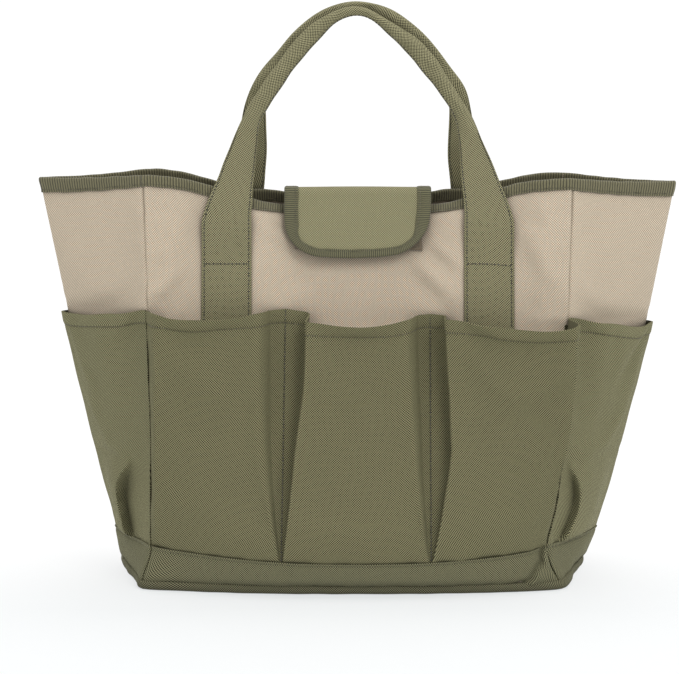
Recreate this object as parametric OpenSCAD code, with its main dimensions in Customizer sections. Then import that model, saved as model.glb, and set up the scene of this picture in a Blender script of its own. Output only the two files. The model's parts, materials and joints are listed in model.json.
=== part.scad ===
// Garden tool bag: a sewn tote with outside pockets all round, two carry handles and a closing flap.
// Millimetres. X runs along the front, Y from front to back and Z up; the front faces -Y.
// The origin is the middle of the underside.

/* [Body] */
// Width of the front between its corner seams, at the base
base_w = 329; // [310:1:345]
// Depth of the base between the corner seams
base_d = 159; // [150:1:175]
// Width of the front between its corner seams, at the rim
rim_w = 353; // [340:1:370]
// Height of the corner seams
wall_h = 340; // [330:1:350]
// How far the rim sags at its middle
rim_sag = 25; // [15:1:30]
// Gap between the front and back rims at their middle
mouth_gap = 34; // [30:1:44]
// Width of an end panel's half, from corner seam to crease, at the rim
end_half_w = 95.5; // [94:0.5:100]
// How far the end crease stands from the middle at the rim
crease_x_rim = 266; // [262:1:268]
// How far the front belly stands out just above the base
belly_out = 22; // [14:1:24]

/* [Cloth] */
// Thickness of the wall cloth
cloth_t = 1; // [0.8:0.1:1.2]
// Thickness of the pocket and band cloth
pocket_t = 1.2; // [1:0.1:1.4]
// Thickness of the handle strap
strap_t = 1.6; // [1.4:0.1:2]
// Thickness of the edge tape
tape_t = 0.9; // [0.7:0.1:1.1]
// Height of the edge tape on each side of the rim
tape_h = 11.5; // [9:0.5:13]

/* [Pockets] */
// Height of the pocket mouths
pocket_top = 228; // [215:1:235]
// Distance of the front dividers from the middle
divider_x = 59.5; // [50:0.5:65]
// Height of the band sewn round the base
band_h = 34; // [30:1:38]
// How far a pocket mouth stands out from the wall
pocket_out = 26; // [18:1:28]

/* [Handles] */
// Width of the handle strap where it is sewn to the wall
strap_w = 41; // [36:1:44]
// Distance of each strap from the middle
strap_x = 108; // [104:1:110]
// Height of the top row of stitching on each strap
strap_sewn_top = 266; // [262:1:270]
// Height of the folded grips above the floor
grip_top = 472; // [465:1:480]
// Width of the folded grip
grip_w = 14; // [12:1:16]

/* [Flap] */
// Width of the flap
flap_w = 120; // [110:1:126]
// Length of the flap's front tab
tab_len = 57; // [50:1:62]
// Radius of the tab's lower corners
tab_r = 30; // [20:1:34]

/* [Hidden] */

khaki = [0.74, 0.67, 0.57];
green = [0.45, 0.44, 0.33];
light_green = [0.52, 0.50, 0.39];
tape_green = [0.39, 0.40, 0.31];
patch_brown = [0.42, 0.36, 0.30];
board_grey = [0.25, 0.26, 0.24];

gap = 0.3;                      // clearance between layers of cloth
floor_t = 1.6;                  // cloth of the base
wall_z0 = 2.2;                  // lowest row of the walls
crease_x_base = 193;            // end crease at the base
end_half_base = 84;             // half width of an end at the base, along its slope
rim_mid_z = wall_h - rim_sag;
crease_drop = 7;                // the rim's fall from a corner to a crease
pocket_lift = cloth_t / 2 + gap + pocket_t / 2;
band_lift = cloth_t / 2 + gap + pocket_t + gap + pocket_t / 2;
strap_lift = cloth_t / 2 + gap + strap_t / 2;
pocket_z0 = band_h - 5;
hinge_gap = 2.6;                // from a hinge line to the cloth on each side of it
handle_hinge_z = strap_sewn_top + hinge_gap;

// ---- curves ----

function mix(a, b, t) = a + (b - a) * t;
function ramp(a, b, x) = min(1, max(0, (x - a) / (b - a)));
function smooth(a, b, x) = let(t = ramp(a, b, x)) t * t * (3 - 2 * t);
function unit(v) = v / norm(v);

// Corner seams and end creases, by height.
function corner_x(z) = mix(base_w, rim_w, z / wall_h) / 2;
function crease_x(z) = mix(crease_x_base, crease_x_rim, pow(max(z, 0) / wall_h, 0.8));
function end_half(z) = mix(end_half_base, end_half_w, z / wall_h);
function corner_y(z) = sqrt(pow(end_half(z), 2) - pow(crease_x(z) - corner_x(z), 2));

// Height of the rim at share u of the way from the middle to a corner seam.
function rim_z(u) = mix(rim_mid_z, wall_h, smooth(0.2, 1, abs(u)));

// Distance of the middle of the front from the bag's mid plane, at share v of the height.
belly_at = 0.12;
function mid_y(v) = mix(base_d / 2 + 4, mouth_gap / 2, pow(v, 1.3))
  + belly_out * v / belly_at * exp(1 - v / belly_at);

// The sewn straps hold the upper wall flat behind them.
function strap_flat(x, z) =
  let(d = abs(x) - strap_x)
  abs(x) - 0.9 * smooth(150, 240, z) * d * (1 - smooth(strap_w / 2 + 1, strap_w / 2 + 26, abs(d)));

// The front wall: distance from the mid plane at x and z. The back wall mirrors it.
function wall_y(x, z) =
  let(u = min(1, strap_flat(x, z) / corner_x(z)), v = z / rim_z(u))
  mix(mid_y(v), corner_y(v * wall_h), mix(pow(u, 3), smooth(0.2, 1, u), v));

// ---- solids from grids of points ----

function grid_faces(n, c) = [for (j = [0:n - 2]) for (i = [0:c - 2])
  let(a = j * c + i, b = a + 1, e = a + c + 1, d = a + c)
  each [[a, e, b], [a, d, e]]];
function flip(faces) = [for (f = faces) [f[0], f[2], f[1]]];
function shift(faces, k) = [for (f = faces) [f[0] + k, f[1] + k, f[2] + k]];

// A closed sheet between two grids of points, each a list of rows.
module skin(outer, inner) {
  n = len(outer);
  c = len(outer[0]);
  k = n * c;
  function at(j, i) = j * c + i;
  rows = [for (j = [0:n - 2]) each [
    [k + at(j, 0), k + at(j + 1, 0), at(j + 1, 0)],
    [k + at(j, 0), at(j + 1, 0), at(j, 0)],
    [k + at(j, c - 1), at(j, c - 1), at(j + 1, c - 1)],
    [k + at(j, c - 1), at(j + 1, c - 1), k + at(j + 1, c - 1)]]];
  cols = [for (i = [0:c - 2]) each [
    [k + at(0, i), at(0, i), at(0, i + 1)],
    [k + at(0, i), at(0, i + 1), k + at(0, i + 1)],
    [k + at(n - 1, i), k + at(n - 1, i + 1), at(n - 1, i + 1)],
    [k + at(n - 1, i), at(n - 1, i + 1), at(n - 1, i)]]];
  polyhedron(
    points = [for (row = outer) each row, for (row = inner) each row],
    faces = concat(grid_faces(n, c), shift(flip(grid_faces(n, c)), k), rows, cols));
}

// Sideways normals of a polyline in plan, mitred at each bend. They point to its right.
function segment_normal(a, b) = let(d = unit([b[0] - a[0], b[1] - a[1]])) [d[1], -d[0]];
function mitre(row, i) =
  let(
    n0 = segment_normal(row[max(i - 1, 0)], row[max(i, 1)]),
    n1 = segment_normal(row[min(i, len(row) - 2)], row[min(i + 1, len(row) - 1)]),
    m = (n0 + n1) / (1 + n0 * n1))
  [m[0], m[1], 0];
function side_step(row, d) = [for (i = [0:len(row) - 1]) row[i] + mitre(row, i) * d];

// A wall of cloth of thickness t, lift out from the given rows. Rows run left to right seen from outside.
module wall(rows, t, lift = 0) {
  skin([for (row = rows) side_step(row, lift + t / 2)], [for (row = rows) side_step(row, lift - t / 2)]);
}

// ---- rows of points on the bag ----

seam_inset = 1.2;               // how far a wall's cloth stops short of a corner seam
pleat_w = 17;                   // width of the slope at each side of a pocket mouth
pleat_steps = [0.3, 0.6, 1];

// Stations across the front, out to c: close together on the pocket slopes and at the strap edges.
function half_xs(c) = concat(
  [14, 28],
  [for (i = [2:-1:0]) divider_x - pleat_steps[i] * pleat_w],
  [divider_x],
  [for (s = pleat_steps) divider_x + s * pleat_w],
  [for (s = [-1, -0.5, 0, 0.5, 1]) strap_x + s * (strap_w / 2 + 1)],
  [mix(strap_x + strap_w / 2 + 1, c - pleat_w, 0.5)],
  [for (i = [2:-1:0]) c - pleat_steps[i] * pleat_w],
  [c]);
function reversed(list) = [for (i = [len(list) - 1:-1:0]) list[i]];
function front_xs(c) = let(h = half_xs(c)) concat([for (x = reversed(h)) -x], [0], h);

// Rows of the front wall's points: level with the pocket's rows, then following the rim.
pocket_levels = [0, 0.03, 0.08, 0.15, 0.24, 0.34, 0.46, 0.58, 0.7, 0.82, 0.92, 1];
function pocket_z(w) = mix(pocket_z0, pocket_top, w);
low_zs = concat([wall_z0, 8, 18], [for (w = pocket_levels) pocket_z(w)]);
column_us = front_xs(170) / 170;
function flat_row(z, c) = [for (x = front_xs(c)) [x, -wall_y(x, z), z]];
function rim_row(share, down, inset) = [for (i = [0:len(column_us) - 1])
  let(z = mix(pocket_top, rim_z(column_us[i]) - down, share), x = front_xs(corner_x(z) - inset)[i])
  [x, -wall_y(x, z), z]];
function front_rows() = concat(
  [for (z = low_zs) flat_row(z, corner_x(z) - seam_inset)],
  [for (share = [0.25, 0.5, 0.75, 1]) rim_row(share, tape_h, seam_inset)],
  [rim_row(1, 0, seam_inset)]);

// A point on the right end wall at height z: s runs from the front corner (-1) to the back corner (1).
function end_point(s, z) = let(share = abs(s) * (1 - seam_inset / end_half_w))
  [mix(crease_x(z), corner_x(z), share), sign(s) * share * corner_y(z),
    z - crease_drop * (1 - abs(s)) * ramp(pocket_top, wall_h, z)];
end_shares = [-1, -0.75, -0.5, -0.25, 0, 0.25, 0.5, 0.75, 1];
function end_rows(levels) = [for (z = levels) [for (s = end_shares) end_point(s, z)]];

module to_back() { mirror([0, 1, 0]) children(); }
module to_left() { mirror([1, 0, 0]) children(); }

// ---- base ----

module rounded_plate(w, d, r, h) {
  linear_extrude(h) union() {
    square([w - 2 * r, d], center = true);
    square([w, d - 2 * r], center = true);
    for (x = [-1, 1], y = [-1, 1]) translate([x * (w / 2 - r), y * (d / 2 - r)]) circle(r, $fn = 48);
  }
}

// The base reaches out under the bands that stand on it.
base_reach = band_lift + pocket_t / 2;
function base_outline() = let(
  front = side_step(band_rows()[0], base_reach),
  side = side_step(end_rows([wall_z0])[0], base_reach),
  half = concat([for (p = front) [p[0], p[1]]], [for (p = side) [p[0], p[1]]]))
  concat(half, [for (p = half) -p]);
module base_panel() color(green) linear_extrude(floor_t) polygon(base_outline());

module base_board() color(board_grey)
  translate([0, 0, floor_t + 0.4]) rounded_plate(base_w - 23, base_d - 21, 8, 3);

module base_seam_tape() color(tape_green) translate([0, 0, floor_t + 0.4]) difference() {
  rounded_plate(base_w - 8, base_d - 6, 8, 8);
  translate([0, 0, -1]) rounded_plate(base_w - 12, base_d - 10, 6, 10);
}

// ---- walls ----

end_levels = concat(low_zs, [250, 280, 306, wall_h - tape_h, wall_h]);

module front_panel() color(khaki) wall(front_rows(), cloth_t);
module back_panel() color(khaki) to_back() wall(front_rows(), cloth_t);
module right_end_panel() color(khaki) wall(end_rows(end_levels), cloth_t);
module left_end_panel() color(khaki) to_left() wall(end_rows(end_levels), cloth_t);

// Bound seam allowances that stand inside the bag along the four corners.
allowance = 9;
module corner_seam_tape() {
  rows = [for (z = [12, 60, 120, 180, 240, 300, wall_h - 16])
    let(
      across = unit([crease_x(z) - corner_x(z), corner_y(z)]),
      in_dir = unit([-1, 0.05] + across),
      c = [corner_x(z), -corner_y(z)] + in_dir * 4)
    [[c[0], c[1], z], [c[0] + in_dir[0] * allowance, c[1] + in_dir[1] * allowance, z]]];
  wall(rows, tape_t * 2);
}
module corner_seam_tapes() color(tape_green) {
  corner_seam_tape();
  to_left() corner_seam_tape();
  to_back() corner_seam_tape();
  to_left() to_back() corner_seam_tape();
}

// ---- base bands ----

band_levels = [wall_z0, 8, 18, pocket_z0, band_h];
function band_rows() = [for (z = band_levels) flat_row(z, corner_x(z) + 1)];

module front_base_band() color(green) wall(band_rows(), pocket_t, band_lift);
module back_base_band() color(green) to_back() wall(band_rows(), pocket_t, band_lift);
module right_base_band() color(green) wall(end_rows(band_levels), pocket_t, band_lift);
module left_base_band() color(green) to_left() wall(end_rows(band_levels), pocket_t, band_lift);

// ---- pockets ----

seam_room = 0.6;                // keeps the cloth's fold at a divider off the wall

// How far the pocket cloth stands out from where it lies flat, at share w of its height.
function pocket_rise(x, z, w) =
  let(
    s = abs(x) < divider_x ? divider_x - abs(x) : min(abs(x) - divider_x, corner_x(z) - abs(x)),
    slope = mix(6, pleat_w, w))
  seam_room * ramp(0, 0.05, w) + pocket_out * pow(w, 0.6) * smooth(0, slope, s);

function pocket_row(w) = let(z = pocket_z(w), open = ramp(pocket_levels[1], 1, w))
  [for (x = front_xs(corner_x(z))) [x, -wall_y(x, z) - pocket_lift - pocket_rise(x, z, open), z]];

module pocket_band() wall([for (w = pocket_levels) pocket_row(w)], pocket_t);
module front_pocket_band() color(green) pocket_band();
module back_pocket_band() color(green) to_back() pocket_band();

end_out = 15;                   // how far an end pocket stands out between corner and crease
end_crease_out = 4;             // and at its crease
function end_pocket_row(w) =
  let(
    row = end_rows([pocket_z(w)])[0],
    open = pow(ramp(pocket_levels[1], 1, w), 0.7),
    out = function(s) s < 0.5
      ? mix(end_crease_out, end_out, smooth(0, 0.5, s))
      : end_out * (1 - smooth(0.5, 1, s)))
  [for (i = [0:len(row) - 1]) row[i] + mitre(row, i) * (pocket_lift + out(abs(end_shares[i])) * open)];

module end_pocket() wall([for (w = pocket_levels) end_pocket_row(w)], pocket_t);
module right_end_pocket() color(green) end_pocket();
module left_end_pocket() color(green) to_left() end_pocket();

// ---- rim tape ----

// The tape folds over the edge: each profile pair is how far out it stands and how far up.
fold = cloth_t / 2 + gap + 0.1;
tape_inside = [[fold, -tape_h], [fold, gap], [-fold, gap], [-fold, -tape_h]];
tape_outside = [[fold + tape_t, -tape_h], [fold + tape_t, gap + tape_t],
  [-fold - tape_t, gap + tape_t], [-fold - tape_t, -tape_h]];

// top holds the edge's points, low the wall's points one tape height down.
function tape_grid(top, low, profile) = [for (p = profile) [for (i = [0:len(top) - 1])
  let(base = p[1] < 0 ? low[i] : top[i] + [0, 0, p[1]]) base + mitre(p[1] < 0 ? low : top, i) * p[0]]];
module edge_tape(top, low) skin(tape_grid(top, low, tape_outside), tape_grid(top, low, tape_inside));

function front_rim(down) = rim_row(1, down, seam_inset + 1);
function end_rim(down) = [for (s = end_shares) end_point(0.985 * s, wall_h - down)];

module front_rim_tape() edge_tape(front_rim(0), front_rim(tape_h));
module rim_tape_front() color(tape_green) front_rim_tape();
module rim_tape_back() color(tape_green) to_back() front_rim_tape();
module rim_tape_right() color(tape_green) edge_tape(end_rim(0), end_rim(tape_h));
module rim_tape_left() color(tape_green) to_left() edge_tape(end_rim(0), end_rim(tape_h));

// ---- handles ----

strap_z0 = 50;
strap_levels = concat(
  [for (w = pocket_levels) if (pocket_z(w) > strap_z0) pocket_z(w)], [240, 253, strap_sewn_top]);
module sewn_strap() wall(
  [for (z = strap_levels) [for (i = [0:4]) let(x = strap_x + strap_w * (i / 4 - 0.5)) [x, -wall_y(x, z), z]]],
  strap_t, strap_lift);
module front_strap_right() color(light_green) sewn_strap();
module front_strap_left() color(light_green) to_left() sewn_strap();
module back_strap_right() color(light_green) to_back() sewn_strap();
module back_strap_left() color(light_green) to_left() to_back() sewn_strap();

front_kink = [88.2, 384];       // where the flat strap folds to become the grip, as [x, z]
back_kink = [83.5, 406];
kink_y = 14;                    // the kinks' distance from the mid plane
back_rise = 4;                  // the back grip stands this much taller
grip_pinch = 7.5;               // width of the grip at its middle, where a hand closes it
grip_t = 9;                     // thickness of the folded grip, front to back
grip_y = 6.4;                   // distance of each grip from the mid plane
arch_r = 69;                    // radius at the top of the arch
leg_rim_z = 306;                // above this a strap leaves the wall
leg_lift = 4.4;                 // and has room for the rim tape behind it

// Stations on a strap's free length and on the grip: [x, y, z, width, thickness, plan slope].
function leg_plan_y(x, z) = let(w = min(z, leg_rim_z))
  wall_y(x, w) + mix(strap_lift, leg_lift, smooth(handle_hinge_z, leg_rim_z - 4, w));
function leg_station(z, kink) =
  let(
    top = kink[1],
    inner = mix(strap_x - strap_w / 2, kink[0] - grip_w / 2, ramp(312, top, z)),
    outer = mix(strap_x + strap_w / 2, kink[0] + grip_w / 2, ramp(301.5, top, z)),
    t = ramp(leg_rim_z, top, z),
    slope = (leg_plan_y(outer, z) - leg_plan_y(inner, z)) / (outer - inner))
  [(inner + outer) / 2, mix(leg_plan_y(strap_x, z), kink_y, t), z, outer - inner,
    mix(strap_t, grip_t, smooth(338, top, z)), mix(slope, 0, t)];

function arch_drop(x) = sqrt(arch_r * arch_r + x * x) - arch_r;
function grip_station(x, kink, top) =
  [x, mix(grip_y, kink_y, smooth(40, kink[0] + 2, x)),
    top - (top - kink[1]) * arch_drop(x) / arch_drop(kink[0]),
    mix(grip_pinch, grip_w, smooth(0, 48, x)), grip_t, 0];

leg_zs = [handle_hinge_z + hinge_gap, 280, 291, 302, 314, 326, 338, 350, 362, 374];
grip_shares = [1, 0.96, 0.9, 0.82, 0.72, 0.6, 0.48, 0.37, 0.27, 0.18, 0.09];
function half_path(kink, top) = concat(
  [for (z = leg_zs) leg_station(mix(z, z + kink[1] - front_kink[1], ramp(300, 374, z)), kink)],
  [for (w = grip_shares) grip_station(w * kink[0], kink, top)]);
function handle_path(kink, top) = let(h = half_path(kink, top)) concat(
  [for (s = h) [-s[0], s[1], s[2], s[3], s[4], s[5]]], [grip_station(0, kink, top)], reversed(h));

// Half a section, corner by corner: the strap is flat and the grip is rolled.
flat_section = [[1, -0.6], [1, 0.6], [0.9, 1], [0.3, 1], [-0.3, 1], [-0.9, 1]];
round_section = [[1, -0.42], [1, 0.42], [0.74, 0.86], [0.28, 1], [-0.28, 1], [-0.74, 0.86]];
function section(t) = let(r = ramp(strap_t, grip_t, t), half = mix(flat_section, round_section, r))
  concat(half, [for (q = half) -q]);

function handle_ring(path, i) =
  let(
    s = path[i], a = path[max(i - 1, 0)], b = path[min(i + 1, len(path) - 1)],
    d = i == 0 ? [0, 1] : i == len(path) - 1 ? [0, -1] : unit([b[0] - a[0], b[2] - a[2]]))
  [for (q = section(s[4]))
    let(across = q[0] * s[3] / 2)
    [s[0] - d[1] * across, -s[1] - across * s[5] - q[1] * s[4] / 2, s[2] + d[0] * across]];

module tube(rings) {
  n = len(rings);
  m = len(rings[0]);
  sides = [for (j = [0:n - 2]) for (i = [0:m - 1])
    let(a = j * m + i, b = j * m + (i + 1) % m) each [[a, b + m, b], [a, a + m, b + m]]];
  first = [for (i = [1:m - 2]) [0, i, i + 1]];
  last = [for (i = [1:m - 2]) [(n - 1) * m, (n - 1) * m + i + 1, (n - 1) * m + i]];
  polyhedron(points = [for (r = rings) each r], faces = concat(sides, first, last));
}

module handle(kink, top) {
  path = handle_path(kink, top);
  tube([for (i = [0:len(path) - 1]) handle_ring(path, i)]);
}
module front_handle() color(light_green) handle(front_kink, grip_top);
module back_handle() color(light_green) to_back() handle(back_kink, grip_top + back_rise);

// ---- flap ----

flap_t = 2;                     // two layers of cloth
flap_tape_w = 10.5;             // width of the edge tape on each face of the flap
flap_tape_out = flap_t / 2 + gap + tape_t;
flap_fold = [-20.5, 327.4];     // the front fold, as [y, z]
flap_hinge = [20.7, 323.2];     // the line the flap lifts about, just outside the back rim
tab_lean = 15;                  // how far the tab leans out
bridge_rise = 9.6;              // how far the bridge slopes up to the front
bridge_len = 36;
anchor_z = [262, 270, 278, 286, 294, 302, 309, 317];
anchor_lift = cloth_t / 2 + gap + flap_t / 2;
anchor_tape_lift = anchor_lift + gap + tape_t + 0.3;

module flap_anchor() color(light_green) to_back() wall(
  [for (z = anchor_z) [for (i = [0:12]) let(x = (i / 6 - 1) * flap_w / 2, w = min(z, rim_mid_z))
    [x, -wall_y(x, w) - mix(anchor_lift, anchor_tape_lift, smooth(290, 302, z)) + (z - w) * 0.27, z]]],
  flap_t);

// The bridge and the tab are drawn flat, X across and Y along them, with their outer face up.
module on_bridge() translate([0, flap_fold[0], flap_fold[1]]) rotate([-bridge_rise, 0, 0])
  translate([0, hinge_gap, 0]) children();
module on_tab() translate([0, flap_fold[0], flap_fold[1]]) rotate([90 - tab_lean, 0, 0])
  translate([0, -hinge_gap, 0]) children();

module slab(t) translate([0, 0, -t / 2]) linear_extrude(t) children();
module bridge_outline(grow) translate([-flap_w / 2 - grow, 0]) square([flap_w + 2 * grow, bridge_len]);
module tab_outline(grow, above = 0) {
  drop = tab_len - hinge_gap;
  half = flap_w / 2 - tab_r;
  intersection() {
    union() {
      translate([-flap_w / 2 - grow, tab_r - drop]) square([flap_w + 2 * grow, 2 * drop]);
      translate([-half, -drop - grow]) square([2 * half, drop + grow]);
      for (x = [-half, half]) translate([x, tab_r - drop]) circle(tab_r + grow, $fn = 72);
    }
    translate([-flap_w, above - 2 * drop]) square([2 * flap_w, 2 * drop]);
  }
}

module flap_bridge() color(light_green) on_bridge() slab(flap_t) bridge_outline(0);
module flap_bridge_tape() color(tape_green) on_bridge() difference() {
  slab(2 * flap_tape_out) bridge_outline(gap + tape_t);
  slab(flap_t + 2 * gap) translate([0, -1]) scale([1, 1.1]) bridge_outline(gap);
  translate([0, -1]) slab(20) scale([1, 1.1]) bridge_outline(-flap_tape_w);
}
module flap_tab() color(light_green) on_tab() slab(flap_t) tab_outline(0);
module flap_tab_tape() color(tape_green) on_tab() difference() {
  slab(2 * flap_tape_out) tab_outline(gap + tape_t);
  slab(flap_t + 2 * gap) tab_outline(gap, 1);
  slab(20) tab_outline(-flap_tape_w, 1);
}

patch_t = 1;
patch_h = 23;
module flap_hook_patch() color(patch_brown) on_tab()
  translate([-41, -39, -flap_t / 2 - gap - patch_t]) cube([82, patch_h, patch_t]);

patch_x = [-52, 60];            // the loop patch sits a little off centre
module front_loop_patch() color(patch_brown) wall(
  [for (z = [278, 284, 290, 296, 302]) [for (i = [0:10])
    let(x = mix(patch_x[0], patch_x[1], i / 10)) [x, -wall_y(x, z), z]]],
  patch_t, cloth_t / 2 + gap + patch_t / 2);

base_panel();
base_board();
base_seam_tape();
front_panel();
back_panel();
left_end_panel();
right_end_panel();
corner_seam_tapes();
front_pocket_band();
back_pocket_band();
left_end_pocket();
right_end_pocket();
front_base_band();
back_base_band();
left_base_band();
right_base_band();
rim_tape_front();
rim_tape_back();
rim_tape_left();
rim_tape_right();
front_strap_left();
front_strap_right();
back_strap_left();
back_strap_right();
front_handle();
back_handle();
flap_anchor();
flap_bridge();
flap_bridge_tape();
flap_tab();
flap_tab_tape();
flap_hook_patch();
front_loop_patch();
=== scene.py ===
"""Garden tool bag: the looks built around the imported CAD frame.

Shapes are worked out in millimetres in the row frame (X along the front, front faces -Y, Z up)
and written to meshes in metres.
"""

import json
import math

import bpy
import numpy as np
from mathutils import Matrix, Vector

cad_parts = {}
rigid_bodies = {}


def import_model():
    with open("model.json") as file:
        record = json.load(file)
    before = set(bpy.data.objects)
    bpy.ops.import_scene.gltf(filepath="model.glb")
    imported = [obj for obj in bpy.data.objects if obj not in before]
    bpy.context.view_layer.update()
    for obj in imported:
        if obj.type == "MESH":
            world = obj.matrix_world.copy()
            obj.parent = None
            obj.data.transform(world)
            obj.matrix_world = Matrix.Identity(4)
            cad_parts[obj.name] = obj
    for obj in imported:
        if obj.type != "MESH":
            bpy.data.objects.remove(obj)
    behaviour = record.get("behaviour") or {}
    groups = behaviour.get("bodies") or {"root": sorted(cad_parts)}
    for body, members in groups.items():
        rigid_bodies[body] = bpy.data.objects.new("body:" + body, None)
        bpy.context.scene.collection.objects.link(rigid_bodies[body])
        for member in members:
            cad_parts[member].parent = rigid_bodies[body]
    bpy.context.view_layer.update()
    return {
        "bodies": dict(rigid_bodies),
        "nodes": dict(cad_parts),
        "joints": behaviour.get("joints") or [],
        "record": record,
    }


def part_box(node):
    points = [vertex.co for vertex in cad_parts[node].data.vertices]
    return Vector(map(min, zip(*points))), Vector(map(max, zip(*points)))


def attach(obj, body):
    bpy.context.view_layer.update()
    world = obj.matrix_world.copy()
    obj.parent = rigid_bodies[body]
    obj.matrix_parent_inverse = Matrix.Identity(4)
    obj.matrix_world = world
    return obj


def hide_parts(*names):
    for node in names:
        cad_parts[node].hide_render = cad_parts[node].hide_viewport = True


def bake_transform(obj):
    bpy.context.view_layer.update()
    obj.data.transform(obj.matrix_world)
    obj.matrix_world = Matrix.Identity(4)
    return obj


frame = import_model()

MM = 0.001


def top_of(node):
    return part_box(node)[1][2] / MM


# ---------------------------------------------------------------- the bag's shape

WALL_H, POCKET_TOP = top_of("front_panel"), top_of("front_pocket_band")
BASE_W, RIM_W, BASE_D, END_HALF_BASE, END_HALF_RIM = 329.0, 353.0, 159.0, 84.0, 95.5
CREASE_BASE, CREASE_RIM, CREASE_DROP = 193.0, 266.0, 7.0
RIM_MID_Z, RIM_DROP, MOUTH_HALF = WALL_H - 25.0, 2.0, 17.0
BELLY_OUT, BELLY_AT = 22.0, 0.12
STRAP_X, STRAP_W, STRAP_T, HINGE_Z = 108.0, 41.0, 1.6, 268.6
DIVIDER_X, POCKET_OUT, HEM, TAPE_H = 59.5, 26.0, 10.5, 11.5
FRONT_POCKET_H, END_POCKET_H, POCKET_H = 199.0, 195.0, 197.0
BASE_SEAM, BAND_SEAM, BAND_H = 9.0, 29.0, 26.0
CORNER_X = 165.0  # the corners' distance from the middle at the height of the base band
CLOTH_T, POCKET_T, BAND_T = 1.0, 0.9, 1.1
TURN = np.array([-1, -1, 1])  # half a turn about Z takes the front to the back
CORNERS = ((1, -1), (-1, -1), (1, 1), (-1, 1))


def mix(a, b, t):
    return a + (b - a) * t


def ramp(a, b, x):
    return np.clip((x - a) / (b - a), 0, 1)


def smooth(a, b, x):
    t = ramp(a, b, x)
    return t * t * (3 - 2 * t)


def near(distance, reach):
    """1 at distance 0, fading over reach."""
    return np.exp(-(distance / reach) ** 2)


def unit(v):
    return v / np.linalg.norm(v, axis=-1, keepdims=True)


def stack(x, y, z):
    return np.stack(np.broadcast_arrays(x, y, z), axis=-1).astype(float)


def travel(path):
    """Distance along a path to each of its points."""
    return np.concatenate([[0], np.cumsum(np.linalg.norm(np.diff(path, axis=0), axis=-1))])


def soften(loop, times):
    for _ in range(times):
        loop = (np.roll(loop, 1, axis=0) + 2 * loop + np.roll(loop, -1, axis=0)) / 4
    return loop


def spaced(*spans):
    """Stations from spans of (start, end, step), without repeats."""
    out = [spans[0][0]]
    for a, b, step in spans:
        out += list(np.linspace(a, b, max(1, round(abs(b - a) / step)) + 1)[1:])
    return np.array(out)


def ripple(p, length, seed, terms=9):
    """Smooth noise about -1 to 1: waves of random direction and phase, the same on every run."""
    rng = np.random.default_rng(seed)
    total = np.zeros(p.shape[:-1])
    for _ in range(terms):
        d = rng.normal(size=3)
        d *= 2 * math.pi / length * rng.uniform(0.6, 1.5) / np.linalg.norm(d)
        total += np.cos(p @ d + rng.uniform(0, 2 * math.pi))
    return total / math.sqrt(terms)


def corner_x(z):
    return mix(BASE_W, RIM_W, z / WALL_H) / 2


def crease_x(z):
    return mix(CREASE_BASE, CREASE_RIM, np.power(np.maximum(z, 0) / WALL_H, 0.8))


def corner_y(z):
    half = mix(END_HALF_BASE, END_HALF_RIM, z / WALL_H)
    return np.sqrt(half**2 - (crease_x(z) - corner_x(z)) ** 2)


def rim_z(u):
    return mix(RIM_MID_Z, WALL_H, smooth(0.2, 1, np.abs(u)))


def mid_y(v):
    belly = BELLY_OUT * v / BELLY_AT * np.exp(1 - v / BELLY_AT)
    return mix(BASE_D / 2 + 4, MOUTH_HALF, np.power(np.maximum(v, 0), 1.3)) + belly


def strap_flat(x, z):
    """The sewn straps hold the upper wall flat behind them."""
    d = np.abs(x) - STRAP_X
    hold = 0.9 * smooth(150, 240, z) * (1 - smooth(STRAP_W / 2 + 1, STRAP_W / 2 + 26, np.abs(d)))
    return np.abs(x) - hold * d


def wall_y(x, z):
    """Distance of the front wall's cloth from the mid plane."""
    u = np.minimum(1, strap_flat(x, z) / corner_x(z))
    v = z / rim_z(u)
    share = mix(u**3, smooth(0.2, 1, u), v)
    return mix(mid_y(v), corner_y(np.minimum(v, 1) * WALL_H), share)


def settle(p):
    """How the standing bag has slumped: base corners pushed out of true and the right side sagging."""
    p = np.array(p, float)
    x, z = p[..., 0], p[..., 2]
    right, left = near(x - CORNER_X, 18), near(x + CORNER_X, 18)
    far_right, far_left = smooth(174, 188, x), smooth(174, 188, -x)
    shift = -right * (4.0 * near(z - 60, 50) + 8.0 * near(z - 36, 24))
    shift += right * 6.0 * (1 - smooth(0, 22, z))
    shift -= left * (4.0 * near(z - 32, 62) + 10.0 * (1 - smooth(2, 36, z)))
    shift -= 3.0 * far_right * (1 - smooth(0, 26, z)) + 5.0 * far_left * (1 - smooth(0, 60, z))
    sag = smooth(100, 185, x) * (9.0 * smooth(60, 225, z) - 5.8 * smooth(235, 325, z))
    p[..., 0], p[..., 2] = x + shift, z - sag
    return p


# ---------------------------------------------------------------- sheets of cloth


def grid_normals(p, closed=False):
    du = np.roll(p, -1, axis=1) - np.roll(p, 1, axis=1) if closed else np.gradient(p, axis=1)
    n = np.cross(du, np.gradient(p, axis=0))
    return n / np.maximum(np.linalg.norm(n, axis=-1, keepdims=True), 1e-9)


def cell(value, stations):
    """Where a value lies among stations: the station below it and the share of the way to the next."""
    at = np.interp(value, stations, np.arange(len(stations)))
    low = np.minimum(at.astype(int), len(stations) - 2)
    return low, (at - low)[..., None]


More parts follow.
